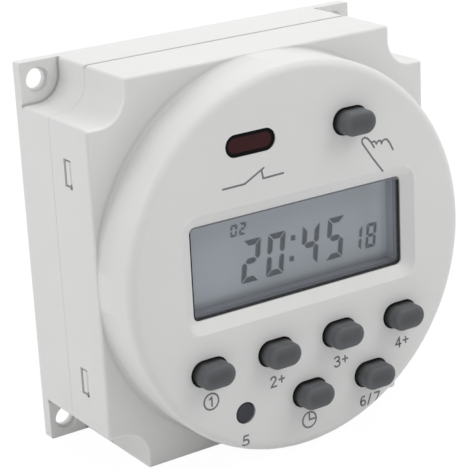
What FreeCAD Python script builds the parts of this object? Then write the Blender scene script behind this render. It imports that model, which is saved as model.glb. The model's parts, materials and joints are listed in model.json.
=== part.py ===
# Digital timer relay for wall or panel mounting.
#
# Millimetres. X runs to the right seen from the front, Y runs from the front to the back and Z runs up.
# The origin is the centre of the flat back face, so everything lies at negative Y. Places along Y are
# written as a depth: the distance in front of the back face.

import FreeCAD, Part
import math
import os
import re
import Sketcher

Vector = FreeCAD.Vector

SIZES = {
    # Square housing
    "square_side": 60.0,
    "body_depth": 20.8,
    "parting_depth": 9.8,
    "corner_notch": 6.4,
    "notch_round": 4.2,
    "edge_round": 0.5,
    "side_wall": 1.8,
    "shoulder_wall": 1.8,
    "back_wall": 1.8,
    # Screw ears
    "ear_thickness": 2.0,
    "ear_hole_radius": 1.55,
    "ear_mouth_radius": 1.95,
    "ear_mouth_depth": 1.0,
    "ear_hole_inset": 2.9,
    "ear_corner_round": 0.3,
    # Round front disc
    "disc_inset": 0.1,
    "disc_height": 8.9,
    "disc_wall": 2.0,
    "disc_root": 1.0,
    "rim_round": 1.6,
    "front_wall": 1.5,
    # Parting line and the lip that centres the shells
    "seam_width": 0.06,
    "seam_inset": 0.2,
    "groove_width": 0.45,
    "groove_inset": 0.35,
    "lip_height": 1.5,
    "lip_thickness": 1.0,
    "shell_gap": 0.15,
    # Snap windows and tongues
    "snap_height": 16.1,
    "snap_window_depth": 13.5,
    "snap_window_width": 2.1,
    "snap_window_height": 4.2,
    "tongue_gap": 0.35,
    "tongue_thickness": 1.2,
    "tongue_depth": 16.4,
    "tongue_root": 3.0,
    "barb_gap": 0.5,
    "barb_setback": 0.1,
    "barb_slope": 0.5,
    # Display window in the disc
    "window_width": 38.0,
    "window_height": 14.2,
    "window_z": 1.7,
    "funnel_width": 1.85,
    "funnel_depth": 1.2,
    "funnel_round": 2.8,
    # Display frame and clear window
    "logic_gap": 4.8,
    "rim_gap": 0.1,
    "rim_width": 0.2,
    "rim_recess": 0.1,
    "seat_gap": 0.05,
    "clear_thickness": 1.0,
    "clear_recess": 0.1,
    "ledge_width": 0.2,
    "frame_border": 1.2,
    # Display cell
    "display_face": 2.6,
    "cell_width": 40.0,
    "cell_height": 17.6,
    "rear_glass_height": 13.6,
    "cell_gap": 0.1,
    "film_thickness": 0.2,
    "glass_thickness": 0.7,
    "zebra_width": 36.0,
    "zebra_thickness": 1.4,
    # Keys
    "key_width": 5.8,
    "key_height": 3.6,
    "key_gap": 0.3,
    "key_proud": 2.8,
    "key_round": 0.6,
    "key_pitch": 11.7,
    "key_edge": 8.65,
    "key_row_pitch": 8.2,
    "manual_key_x": 9.05,
    "manual_key_edge": 10.35,
    "key_flange": 0.7,
    "key_flange_thickness": 1.0,
    "key_travel": 1.0,
    "plunger_inset": 0.6,
    "reset_radius": 1.57,
    "reset_gap": 0.15,
    "reset_recess": 0.05,
    "reset_round": 0.3,
    "reset_flange": 0.7,
    # Contact pills and key mats
    "pill_radius": 1.1,
    "reset_pill_radius": 0.7,
    "pill_thickness": 0.5,
    "pill_gap": 0.1,
    "mat_thickness": 0.8,
    "mat_gap": 1.3,
    "mat_border": 1.6,
    "collar_height": 2.4,
    "collar_wall": 0.6,
    "collar_gap": 0.3,
    # Indicator
    "lens_x": 8.65,
    "lens_edge": 10.3,
    "lens_width": 8.6,
    "lens_height": 3.4,
    "lens_gap": 0.05,
    "lens_recess": 0.2,
    "lens_flange": 0.7,
    "lens_flange_thickness": 0.6,
    "lamp_radius": 1.5,
    "lamp_height": 2.0,
    "lamp_collar_radius": 1.8,
    "lamp_collar_height": 0.8,
    # Logic board
    "board_thickness": 1.6,
    "logic_board_gap": 0.9,
    "upper_boss_inset": 5.7,
    "upper_boss_angle": 42.0,
    "lower_boss_x": 16.5,
    "lower_boss_rise": 3.05,
    "boss_radius": 1.75,
    "boss_gap": 0.3,
    "screw_radius": 0.95,
    "screw_gap": 0.05,
    "screw_length": 5.0,
    "screw_head_radius": 1.7,
    "screw_head_height": 1.2,
    "screw_drive_radius": 0.55,
    "screw_drive_depth": 0.6,
    "chip_side": 9.0,
    "chip_thickness": 1.2,
    "chip_z": 3.0,
    "lead_width": 0.35,
    "lead_reach": 1.0,
    "lead_thickness": 0.2,
    "lead_pitch": 1.1,
    "crystal_radius": 1.0,
    "crystal_length": 6.0,
    "crystal_x": 9.5,
    "crystal_z": 3.0,
    # Header between the boards
    "header_x": 24.0,
    "header_width": 2.4,
    "pin_pitch": 2.54,
    "pin_radius": 0.32,
    "pin_reach": 0.6,
    "pin_hole_radius": 0.45,
    # Power board
    "board_spacing": 3.2,
    "power_board_gap": 0.6,
    "power_upper_x": 16.0,
    "power_upper_z": 20.2,
    "power_lower_x": 24.2,
    "power_lower_z": 9.6,
    # Terminal well and blades
    "terminal_pitch": 10.5,
    "terminal_row": 18.0,
    "well_height": 12.0,
    "well_depth": 8.6,
    "well_floor": 1.4,
    "well_wall": 1.2,
    "rib_thickness": 1.2,
    "blade_width": 6.3,
    "blade_thickness": 0.8,
    "blade_recess": 1.0,
    "blade_gap": 0.1,
    "blade_shoulder": 1.0,
    "shoulder_height": 0.8,
    "neck_width": 4.0,
    "blade_hole_radius": 0.9,
    "blade_hole_setback": 3.3,
    "blade_chamfer": 1.0,
    # Relay
    "relay_x": 11.5,
    "relay_z": 3.5,
    "relay_width": 19.2,
    "relay_height": 15.5,
    "relay_depth": 15.0,
    "relay_wall": 0.8,
    "relay_base_thickness": 2.0,
    "relay_gap": 0.1,
    "coil_offset": 1.0,
    "core_radius": 2.0,
    "bobbin_bore_gap": 0.1,
    "bobbin_wall": 0.6,
    "bobbin_flange": 0.8,
    "coil_radius": 4.5,
    "bobbin_radius": 4.9,
    "yoke_thickness": 1.2,
    "yoke_height": 8.8,
    "yoke_leg": 6.2,
    "yoke_width": 9.0,
    "armature_thickness": 1.0,
    "armature_gap": 0.4,
    "armature_width": 8.0,
    "leaf_thickness": 0.3,
    "leaf_width": 5.0,
    "contact_reach": 6.4,
    "contact_radius": 1.1,
    "contact_thickness": 0.6,
    "contact_gap": 0.6,
    "fixed_post_thickness": 0.6,
    "fixed_post_width": 3.0,
    # Parts on the power board
    "supply_cap_x": 11.0,
    "supply_cap_z": 14.0,
    "supply_cap_width": 18.0,
    "supply_cap_height": 6.0,
    "supply_cap_depth": 12.0,
    "supply_cap_round": 0.5,
    "wire_radius": 0.3,
    "leg_radius": 0.25,
    "smoothing_x": 7.5,
    "smoothing_z": 3.4,
    "smoothing_radius": 4.0,
    "smoothing_depth": 11.5,
    "smoothing_round": 0.6,
    "battery_x": 19.2,
    "battery_z": 1.0,
    "battery_radius": 5.75,
    "battery_thickness": 5.4,
    "battery_round": 0.6,
    "tab_thickness": 0.2,
    "tab_width": 3.0,
    "tab_overhang": 1.2,
    "varistor_x": 4.2,
    "varistor_z": 15.8,
    "varistor_radius": 3.7,
    "varistor_thickness": 3.4,
    "varistor_rise": 1.0,
    "diode_radius": 1.35,
    "diode_length": 5.0,
    "diode_pitch": 3.6,
    "diode_x": 1.6,
    "diode_z": 6.6,
    "diode_rise": 0.3,
    "resistor_radius": 1.5,
    "resistor_length": 6.2,
    "resistor_x": 14.6,
    "resistor_z": 15.4,
    "transistor_x": 24.2,
    "transistor_z": 10.2,
    "transistor_radius": 2.3,
    "transistor_depth": 4.6,
    "transistor_flat": 1.3,
    "transistor_rise": 1.0,
}

# Places that many pieces share, worked out from the sizes. What stands on the disc is placed from its
# edge, and what fits in the disc from the wall round its bore.
HALF = "square_side / 2"
DISC_RADIUS = "(square_side / 2 - disc_inset)"
BORE_RADIUS = "(square_side / 2 - disc_inset - disc_wall)"
ROW_TWO = f"({DISC_RADIUS} - key_edge)"
ROW_ONE = f"({DISC_RADIUS} - key_edge - key_row_pitch)"
LENS_Z = f"({DISC_RADIUS} - lens_edge)"
FRONT = "body_depth + disc_height"
INSIDE = "body_depth + disc_height - front_wall"
LOGIC_FRONT = "body_depth + disc_height - front_wall - logic_gap"
LOGIC_BACK = LOGIC_FRONT + " - board_thickness"
POWER_FRONT = LOGIC_BACK + " - board_spacing"
POWER_BACK = POWER_FRONT + " - board_thickness"
TERMINAL_STEPS = ("-1.5", "-0.5", "0.5", "1.5")
CORNERS = ((-1, -1), (-1, 1), (1, -1), (1, 1))
HEADER_PINS = ("-2.5", "-1.5", "-0.5", "0.5", "1.5", "2.5")
SEAT_INSET = "rim_gap + rim_width"
# Edges that lie this close together count as being in the same place
SAME_PLACE = 0.0001

doc = FreeCAD.newDocument("timer_relay")
sheet = doc.addObject("Spreadsheet::Sheet", "Sizes")
nodes = []


def fill_sheet():
    """Write each size and its name in a row of its own."""
    for row, (alias, size) in enumerate(SIZES.items(), start=1):
        sheet.set(f"A{row}", alias)
        sheet.set(f"B{row}", str(size))
        sheet.setAlias(f"B{row}", alias)
    doc.recompute()


def linked(text):
    """Turn the names of sizes in an expression into references to the sheet."""
    def reference(match):
        word = match.group(0)
        return "Sizes." + word if word in SIZES else word
    return re.sub(r"[a-z][a-z_]*", reference, str(text))


def bind(item, **properties):
    for name, text in properties.items():
        item.setExpression(name, linked(text))


def place(item, x, y, z):
    item.setExpression("Placement.Base.x", linked(x))
    item.setExpression("Placement.Base.y", linked(y))
    item.setExpression("Placement.Base.z", linked(z))


def number(alias):
    return float(sheet.get(alias))


# Simple solids, placed by their centre across and their depth in front of the back face

def block(name, x, z, depth, width, height, length):
    box = doc.addObject("Part::Box", name)
    bind(box, Length=width, Height=height, Width=length)
    place(box, f"{x} - ({width}) / 2", f"-({depth}) - ({length})", f"{z} - ({height}) / 2")
    return box


def rod(name, x, z, depth, radius, length):
    """A cylinder that starts at a depth and runs towards the front."""
    cylinder = doc.addObject("Part::Cylinder", name)
    cylinder.Placement.Rotation = FreeCAD.Rotation(Vector(1, 0, 0), 90)
    bind(cylinder, Radius=radius, Height=length)
    place(cylinder, x, f"-({depth})", z)
    return cylinder


def rod_across(name, x, z, depth, radius, length):
    """A cylinder along X, placed by its middle."""
    cylinder = doc.addObject("Part::Cylinder", name)
    cylinder.Placement.Rotation = FreeCAD.Rotation(Vector(0, 1, 0), 90)
    bind(cylinder, Radius=radius, Height=length)
    place(cylinder, f"{x} - ({length}) / 2", f"-({depth})", z)
    return cylinder


def rod_upright(name, x, z, depth, radius, length):
    """A cylinder along Z, placed by its middle."""
    cylinder = doc.addObject("Part::Cylinder", name)
    bind(cylinder, Radius=radius, Height=length)
    place(cylinder, x, f"-({depth})", f"{z} - ({length}) / 2")
    return cylinder


def join(name, pieces):
    if len(pieces) == 1:
        return pieces[0]
    fused = doc.addObject("Part::MultiFuse", name)
    fused.Shapes = pieces
    fused.Refine = True
    return fused


def subtract(name, base, tools):
    cut = doc.addObject("Part::Cut", name)
    cut.Base = base
    cut.Tool = join(name + "_tools", tools)
    cut.Refine = True
    return cut


def overlap(name, pieces):
    common = doc.addObject("Part::MultiCommon", name)
    common.Shapes = pieces
    common.Refine = True
    return common


def group(name, pieces):
    compound = doc.addObject("Part::Compound", name)
    compound.Links = pieces
    return compound


def stadium(name, x, z, depth, width, height, length):
    middle = block(name + "_middle", x, z, depth, f"({width}) - ({height})", height, length)
    half = f"(({width}) - ({height})) / 2"
    left = rod(name + "_left", f"{x} - {half}", z, depth, f"({height}) / 2", length)
    right = rod(name + "_right", f"{x} + {half}", z, depth, f"({height}) / 2", length)
    return join(name, [middle, left, right])


def soften(name, base, alias, wanted, kind="Part::Fillet"):
    """Round or bevel the edges that a test picks."""
    doc.recompute()
    size = number(alias)
    rounded = doc.addObject(kind, name)
    rounded.Base = base
    edges = enumerate(base.Shape.Edges, start=1)
    rounded.Edges = [(index, size, size) for index, edge in edges if wanted(edge)]
    return rounded


def near(first, second):
    return abs(first - second) < SAME_PLACE


def lies_at_depth(edge, depth):
    box = edge.BoundBox
    return near(box.YMin, -depth) and near(box.YMax, -depth)


def runs_along_depth(edge):
    box = edge.BoundBox
    return box.YLength > box.XLength and near(box.XLength, 0) and near(box.ZLength, 0)


# Sketches of bodies, drawn about the body's own origin and seen from the front

def new_body(label, x, z, depth):
    body = doc.addObject("PartDesign::Body", label)
    place(body, x, f"-({depth})", z)
    return body


def front_sketch(body, name, ahead):
    """A sketch parallel to the front face, a distance ahead of the body's origin."""
    sketch = body.newObject("Sketcher::SketchObject", name)
    planes = [feature for feature in body.Origin.OriginFeatures if feature.Role == "XZ_Plane"]
    sketch.AttachmentSupport = (planes[0], [""])
    sketch.MapMode = "FlatFace"
    sketch.setExpression("AttachmentOffset.Base.z", linked(ahead))
    return sketch


def dimension(sketch, kind, *arguments, text):
    index = sketch.addConstraint(Sketcher.Constraint(kind, *arguments, 1.0))
    sketch.setExpression(f"Constraints[{index}]", linked(text))


def draw_circle(sketch, radius):
    circle = sketch.addGeometry(Part.Circle(Vector(0, 0, 0), Vector(0, 0, 1), 1.0))
    sketch.addConstraint(Sketcher.Constraint("Coincident", circle, 3, -1, 1))
    dimension(sketch, "Radius", circle, text=radius)


def draw_rectangle(sketch, width, height):
    corners = [Vector(-2, -1, 0), Vector(2, -1, 0), Vector(2, 1, 0), Vector(-2, 1, 0)]
    sides = []
    for start, end in zip(corners, corners[1:] + corners[:1]):
        sides.append(sketch.addGeometry(Part.LineSegment(start, end)))
    for side, following in zip(sides, sides[1:] + sides[:1]):
        sketch.addConstraint(Sketcher.Constraint("Coincident", side, 2, following, 1))
    for side, kind in zip(sides, ("Horizontal", "Vertical", "Horizontal", "Vertical")):
        sketch.addConstraint(Sketcher.Constraint(kind, side))
    sketch.addConstraint(Sketcher.Constraint("Symmetric", sides[0], 1, sides[1], 2, -1, 1))
    dimension(sketch, "DistanceX", sides[0], 1, sides[0], 2, text=width)
    dimension(sketch, "DistanceY", sides[1], 1, sides[1], 2, text=height)


def arc(x, y, start, end):
    return Part.ArcOfCircle(Part.Circle(Vector(x, y, 0), Vector(0, 0, 1), 1.0), start, end)


def draw_slot(sketch, width, height):
    quarter = math.pi / 2
    top = sketch.addGeometry(Part.LineSegment(Vector(-1, 1, 0), Vector(1, 1, 0)))
    right = sketch.addGeometry(arc(1, 0, -quarter, quarter))
    bottom = sketch.addGeometry(Part.LineSegment(Vector(1, -1, 0), Vector(-1, -1, 0)))
    left = sketch.addGeometry(arc(-1, 0, quarter, 3 * quarter))
    for first, end, second, start in ((top, 2, right, 2), (right, 1, bottom, 1),
                                      (bottom, 2, left, 2), (left, 1, top, 1)):
        sketch.addConstraint(Sketcher.Constraint("Tangent", first, end, second, start))
    sketch.addConstraint(Sketcher.Constraint("Horizontal", top))
    sketch.addConstraint(Sketcher.Constraint("Horizontal", bottom))
    sketch.addConstraint(Sketcher.Constraint("Symmetric", left, 3, right, 3, -1, 1))
    dimension(sketch, "Radius", right, text=f"({height}) / 2")
    dimension(sketch, "DistanceX", left, 3, right, 3, text=f"({width}) - ({height})")


def draw_round_rectangle(sketch, width, height, radius):
    quarter = math.pi / 2
    centres = ((3, 2), (-3, 2), (-3, -2), (3, -2))
    arcs = []
    for turn, (x, y) in enumerate(centres):
        arcs.append(sketch.addGeometry(arc(x, y, turn * quarter, (turn + 1) * quarter)))
    for turn, (x, y) in enumerate(centres):
        after_x, after_y = centres[(turn + 1) % 4]
        out_x, out_y = ((0, 1), (-1, 0), (0, -1), (1, 0))[turn]
        start = Vector(x + out_x, y + out_y, 0)
        end = Vector(after_x + out_x, after_y + out_y, 0)
        line = sketch.addGeometry(Part.LineSegment(start, end))
        sketch.addConstraint(Sketcher.Constraint("Tangent", arcs[turn], 2, line, 1))
        sketch.addConstraint(Sketcher.Constraint("Tangent", line, 2, arcs[(turn + 1) % 4], 1))
        sketch.addConstraint(Sketcher.Constraint("Horizontal" if turn % 2 == 0 else "Vertical", line))
    for other in arcs[1:]:
        sketch.addConstraint(Sketcher.Constraint("Equal", arcs[0], other))
    sketch.addConstraint(Sketcher.Constraint("Symmetric", arcs[0], 3, arcs[2], 3, -1, 1))
    dimension(sketch, "Radius", arcs[0], text=radius)
    dimension(sketch, "DistanceX", arcs[1], 3, arcs[0], 3, text=f"({width}) - 2 * ({radius})")
    dimension(sketch, "DistanceY", arcs[3], 3, arcs[0], 3, text=f"({height}) - 2 * ({radius})")


def pad(body, sketch, name, length):
    feature = body.newObject("PartDesign::Pad", name)
    feature.Profile = sketch
    bind(feature, Length=length)
    return feature


def pocket(body, sketch, name, length):
    """Cuts from the sketch towards the back."""
    feature = body.newObject("PartDesign::Pocket", name)
    feature.Profile = sketch
    bind(feature, Length=length)
    return feature


def round_body(body, name, size, wanted):
    doc.recompute()
    base = body.Tip
    names = [f"Edge{index}" for index, edge in enumerate(base.Shape.Edges, start=1) if wanted(edge)]
    feature = body.newObject("PartDesign::Fillet", name)
    feature.Base = (base, names)
    bind(feature, Radius=size)
    return feature


def at_front_of(edge, ahead):
    """Whether an edge of a body lies in the plane this far ahead of the body's origin."""
    return lies_at_depth(edge, ahead)


def piece(label, item):
    """Names a finished sub-part and keeps it for the check and the export."""
    item.Label = label
    nodes.append(item)
    return item


# The square with a rounded notch at each corner, drawn in by an inset

def corner_tool(name, sign_x, sign_z, inset, depth, length):
    edge = f"({HALF} - corner_notch - ({inset}))"
    centre = f"({HALF} - corner_notch + notch_round)"
    reach = f"({HALF})"
    beside = block(name + "_beside", f"{sign_x} * ({centre} + {reach} / 2)",
                   f"{sign_z} * ({edge} + {reach} / 2)", depth, reach, reach, length)
    above = block(name + "_above", f"{sign_x} * ({edge} + {reach} / 2)",
                  f"{sign_z} * ({centre} + {reach} / 2)", depth, reach, reach, length)
    curve = rod(name + "_curve", f"{sign_x} * {centre}", f"{sign_z} * {centre}", depth,
                f"notch_round + ({inset})", length)
    return join(name, [beside, above, curve])


def notched_prism(name, inset, depth, length):
    side = f"square_side - 2 * ({inset})"
    square = block(name + "_square", "0", "0", depth, side, side, length)
    tools = [corner_tool(f"{name}_corner_{index}", sign_x, sign_z, inset, depth, length)
             for index, (sign_x, sign_z) in enumerate(CORNERS, start=1)]
    return subtract(name, square, tools)


def on_outer_corner(edge):
    """Whether an edge runs along the depth at the outer end of a notch."""
    box = edge.BoundBox
    reach = max(abs(box.XMin), abs(box.ZMin))
    return runs_along_depth(edge) and near(reach, number("square_side") / 2)


# Front shell

def key_places():
    """Name of each oblong key and where it sits."""
    return {
        "program": ("-1.5 * key_pitch", f"-{ROW_ONE}"),
        "day": ("-0.5 * key_pitch", f"-{ROW_ONE}"),
        "hour": ("0.5 * key_pitch", f"-{ROW_ONE}"),
        "minute": ("1.5 * key_pitch", f"-{ROW_ONE}"),
        "clock": ("0", f"-{ROW_TWO}"),
        "recall": ("key_pitch", f"-{ROW_TWO}"),
        "manual": ("manual_key_x", f"{DISC_RADIUS} - manual_key_edge"),
    }


RESET_PLACE = ("-key_pitch", f"-{ROW_TWO}")


def boss_places():
    circle = f"({DISC_RADIUS} - upper_boss_inset)"
    upper = [(f"{sign} * {circle} * cos(upper_boss_angle * 1deg)",
              f"{circle} * sin(upper_boss_angle * 1deg)") for sign in (-1, 1)]
    lower = [(f"{sign} * lower_boss_x", f"-({ROW_TWO} - lower_boss_rise)") for sign in (-1, 1)]
    return upper + lower


def window_tools():
    """The sloping funnel and the straight opening behind it."""
    funnel = new_body("window_funnel", "0", "window_z", FRONT)
    outer = front_sketch(funnel, "funnel_mouth", "0")
    draw_round_rectangle(outer, "window_width + 2 * funnel_width", "window_height + 2 * funnel_width",
                         "funnel_round")
    inner = front_sketch(funnel, "funnel_floor", "-funnel_depth")
    draw_round_rectangle(inner, "window_width", "window_height", "funnel_round - funnel_width")
    loft = funnel.newObject("PartDesign::AdditiveLoft", "funnel_slope")
    loft.Profile = outer
    loft.Sections = [inner]
    opening = new_body("window_opening", "0", "window_z", INSIDE)
    outline = front_sketch(opening, "opening_outline", "0")
    draw_round_rectangle(outline, "window_width", "window_height", "funnel_round - funnel_width")
    pad(opening, outline, "opening_depth", "front_wall")
    return [funnel, opening]


def hole_tools():
    tools = []
    for name, (x, z) in key_places().items():
        tools.append(stadium(name + "_key_hole", x, z, INSIDE, "key_width + 2 * key_gap",
                             "key_height + 2 * key_gap", "front_wall"))
    tools.append(rod("reset_hole", *RESET_PLACE, INSIDE, "reset_radius + reset_gap", "front_wall"))
    tools.append(stadium("lens_hole", "-lens_x", LENS_Z, INSIDE, "lens_width", "lens_height", "front_wall"))
    return tools


def snap_window_tools():
    tools = []
    for sign_x, sign_z in CORNERS:
        name = f"snap_window_{sign_x}_{sign_z}".replace("-", "minus_")
        tools.append(block(name, f"{sign_x} * ({HALF} - side_wall / 2)", f"{sign_z} * snap_height",
                           "snap_window_depth", "2 * side_wall", "snap_window_height", "snap_window_width"))
    return tools


def parting_groove():
    """The fine seam that runs all round between the shells, and the wider groove above and below."""
    around = notched_prism("seam_outside", "-seam_inset", "parting_depth", "seam_width")
    within = notched_prism("seam_inside", "seam_inset", "parting_depth", "seam_width")
    seam = subtract("parting_seam", around, [within])
    grooves = [block(f"groove_{index}", "0", f"{sign} * {HALF}", "parting_depth",
                     "square_side - 2 * corner_notch", "2 * groove_inset", "groove_width")
               for index, sign in enumerate((-1, 1), start=1)]
    return join("parting_groove", [seam] + grooves)


def front_shell():
    square = notched_prism("front_square", "0", "parting_depth", "body_depth - parting_depth")
    shoulder = number("body_depth")
    square = soften("front_square_soft", square, "edge_round",
                    lambda edge: on_outer_corner(edge) or lies_at_depth(edge, shoulder))
    disc = rod("disc", "0", "0", "body_depth - disc_root", DISC_RADIUS, "disc_height + disc_root")
    front = number("body_depth") + number("disc_height")
    disc = soften("disc_soft", disc, "rim_round", lambda edge: lies_at_depth(edge, front))
    outside = join("front_outside", [square, disc])
    cavity = notched_prism("front_cavity", "side_wall", "parting_depth",
                           "body_depth - parting_depth - shoulder_wall")
    dome = rod("disc_cavity", "0", "0", "parting_depth", BORE_RADIUS,
               f"{INSIDE} - parting_depth")
    hollow = subtract("front_hollow", outside, [cavity, dome])
    bosses = [rod(f"logic_boss_{index}", x, z, LOGIC_FRONT, "boss_radius", "logic_gap + front_wall / 2")
              for index, (x, z) in enumerate(boss_places(), start=1)]
    solid = join("front_with_bosses", [hollow] + bosses)
    pilots = [rod(f"logic_pilot_{index}", x, z, LOGIC_FRONT, "screw_radius + screw_gap",
                  "screw_length - board_thickness + screw_gap")
              for index, (x, z) in enumerate(boss_places(), start=1)]
    tools = window_tools() + hole_tools() + snap_window_tools() + [parting_groove()] + pilots
    piece("front_shell", subtract("front_shell_solid", solid, tools))


# Rear shell

def power_boss_places():
    upper = [(f"{sign} * power_upper_x", "power_upper_z") for sign in (-1, 1)]
    lower = [(f"{sign} * power_lower_x", "-power_lower_z") for sign in (-1, 1)]
    return upper + lower


def on_barb_tip(edge):
    """Whether an edge is the outer front one of a snap tongue's barb."""
    front = number("snap_window_depth") + number("snap_window_width") - number("shell_gap")
    tip = number("square_side") / 2 - number("barb_setback")
    box = edge.BoundBox
    return lies_at_depth(edge, front) and near(abs(box.XMin), tip) and near(abs(box.XMax), tip)


def snap_tongues():
    """Four spring tongues with a barb that fills the front shell's windows."""
    tongues = []
    outer = f"({HALF} - side_wall - shell_gap)"
    height = "snap_window_height - 2 * tongue_gap"
    for sign_x, sign_z in CORNERS:
        name = f"snap_tongue_{sign_x}_{sign_z}".replace("-", "minus_")
        z = f"{sign_z} * snap_height"
        leaf = block(name + "_leaf", f"{sign_x} * ({outer} - tongue_thickness / 2)", z,
                     "parting_depth - tongue_root", "tongue_thickness", height,
                     "tongue_depth - parting_depth + tongue_root")
        root_width = "tongue_thickness + shell_gap + side_wall / 2"
        root = block(name + "_root", f"{sign_x} * ({HALF} - side_wall / 2 - ({root_width}) / 2)", z,
                     "parting_depth - tongue_root", root_width, height, "tongue_root - shell_gap")
        reach = "side_wall + shell_gap - barb_setback"
        barb_depth = "snap_window_depth + barb_gap"
        barb_length = "snap_window_width - barb_gap - shell_gap"
        barb = block(name + "_barb", f"{sign_x} * ({HALF} - barb_setback - ({reach}) / 2)", z,
                     barb_depth, reach, height, barb_length)
        barb = soften(name + "_barb_slope", barb, "barb_slope", on_barb_tip, kind="Part::Chamfer")
        tongues += [leaf, root, barb]
    return tongues


def well_pieces():
    """The outer box of the terminal well and the pockets cut out of it."""
    width = "4 * terminal_pitch"
    outer = block("well_outside", "0", "-terminal_row", "0", f"{width} + 2 * well_wall",
                  "well_height + 2 * well_wall", "well_depth + well_floor")
    hollow = block("well_hollow", "0", "-terminal_row", "0", width, "well_height", "well_depth")
    ribs = [block(f"well_rib_{index}", f"{step} * terminal_pitch", "-terminal_row", "0",
                  "rib_thickness", "well_height", "well_depth")
            for index, step in enumerate(("-1", "0", "1"), start=1)]
    pockets = subtract("well_pockets", hollow, ribs)
    slots = [block(f"blade_slot_{index}", f"{step} * terminal_pitch", "-terminal_row", "well_depth",
                   "blade_thickness + 2 * blade_gap", "blade_width + 2 * blade_gap", "well_floor")
             for index, step in enumerate(TERMINAL_STEPS, start=1)]
    return outer, [pockets] + slots


def ear_holes():
    """A screw hole through each ear with a wider mouth at its front."""
    holes = []
    for index, (sign_x, sign_z) in enumerate(CORNERS, start=1):
        x = f"{sign_x} * ({HALF} - ear_hole_inset)"
        z = f"{sign_z} * ({HALF} - ear_hole_inset)"
        holes.append(rod(f"ear_hole_{index}", x, z, "0", "ear_hole_radius", "ear_thickness"))
        holes.append(rod(f"ear_mouth_{index}", x, z, "ear_thickness - ear_mouth_depth",
                         "ear_mouth_radius", "ear_mouth_depth"))
    return holes


def rear_shell():
    prism = notched_prism("rear_square", "0", "0", "parting_depth")
    prism = soften("rear_square_soft", prism, "edge_round", on_outer_corner)
    plate = block("ear_plate", "0", "0", "0", "square_side", "square_side", "ear_thickness")
    plate = soften("ear_plate_soft", plate, "ear_corner_round", runs_along_depth)
    outside = join("rear_outside", [prism, plate])
    cavity = notched_prism("rear_cavity", "side_wall", "back_wall", "parting_depth - back_wall")
    hollow = subtract("rear_hollow", outside, [cavity])
    lip_inset = "side_wall + shell_gap"
    lip_start = "parting_depth - lip_height"
    lip_outer = notched_prism("lip_outside", lip_inset, lip_start, "2 * lip_height")
    lip_foot = notched_prism("lip_foot", "side_wall / 2", lip_start, "lip_height - shell_gap")
    lip_inner = notched_prism("lip_inside", f"{lip_inset} + lip_thickness", lip_start, "2 * lip_height")
    lip = subtract("lip", join("lip_solid", [lip_outer, lip_foot]), [lip_inner])
    well, well_tools = well_pieces()
    bosses = [rod(f"power_boss_{index}", x, z, "back_wall / 2", "boss_radius",
                  f"{POWER_BACK} - back_wall / 2")
              for index, (x, z) in enumerate(power_boss_places(), start=1)]
    solid = join("rear_solid", [hollow, lip, well] + bosses + snap_tongues())
    pilots = [rod(f"power_pilot_{index}", x, z, f"{POWER_FRONT} - screw_length - screw_gap",
                  "screw_radius + screw_gap", "screw_length")
              for index, (x, z) in enumerate(power_boss_places(), start=1)]
    piece("rear_shell", subtract("rear_shell_solid", solid, well_tools + pilots + ear_holes()))


# Display

def display_frame():
    """Dark frame with a rim that stands in the window opening."""
    body = new_body("lcd_frame", "0", "window_z", INSIDE)
    outline = front_sketch(body, "frame_outline", "-logic_gap")
    draw_rectangle(outline, "cell_width + 2 * cell_gap + 2 * frame_border",
                   "cell_height + 2 * cell_gap + 2 * frame_border")
    pad(body, outline, "frame_block", "logic_gap")
    rim = front_sketch(body, "rim_outline", "0")
    draw_round_rectangle(rim, "window_width - 2 * rim_gap", "window_height - 2 * rim_gap",
                         "funnel_round - funnel_width - rim_gap")
    rim_height = "front_wall - funnel_depth - rim_recess"
    pad(body, rim, "rim", rim_height)
    seat = front_sketch(body, "seat_outline", rim_height)
    draw_round_rectangle(seat, f"window_width - 2 * ({SEAT_INSET})", f"window_height - 2 * ({SEAT_INSET})",
                         f"funnel_round - funnel_width - ({SEAT_INSET})")
    pocket(body, seat, "window_seat", "clear_thickness + clear_recess")
    aperture = front_sketch(body, "aperture_outline", rim_height)
    draw_round_rectangle(aperture, f"window_width - 2 * ({SEAT_INSET} + ledge_width)",
                         f"window_height - 2 * ({SEAT_INSET} + ledge_width)",
                         f"funnel_round - funnel_width - ({SEAT_INSET} + ledge_width)")
    pocket(body, aperture, "aperture", f"{rim_height} + display_face")
    cell = front_sketch(body, "cell_outline", "-display_face")
    draw_rectangle(cell, "cell_width + 2 * cell_gap", "cell_height + 2 * cell_gap")
    pocket(body, cell, "cell_pocket", "logic_gap - display_face")
    piece("lcd_frame", body)


def clear_window():
    height = "front_wall - funnel_depth - rim_recess - clear_recess - clear_thickness"
    body = new_body("display_window", "0", "window_z", INSIDE)
    outline = front_sketch(body, "clear_outline", height)
    draw_round_rectangle(outline, f"window_width - 2 * ({SEAT_INSET} + seat_gap)",
                         f"window_height - 2 * ({SEAT_INSET} + seat_gap)",
                         f"funnel_round - funnel_width - ({SEAT_INSET} + seat_gap)")
    pad(body, outline, "clear_plate", "clear_thickness")
    piece("display_window", body)


def display_layer(label, behind, width, height, thickness):
    """A flat rectangular layer whose front lies this far behind the front wall's inner face."""
    body = new_body(label, "0", "window_z", INSIDE)
    outline = front_sketch(body, label + "_outline", f"-({behind}) - ({thickness})")
    draw_rectangle(outline, width, height)
    pad(body, outline, label + "_plate", thickness)
    piece(label, body)


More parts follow.
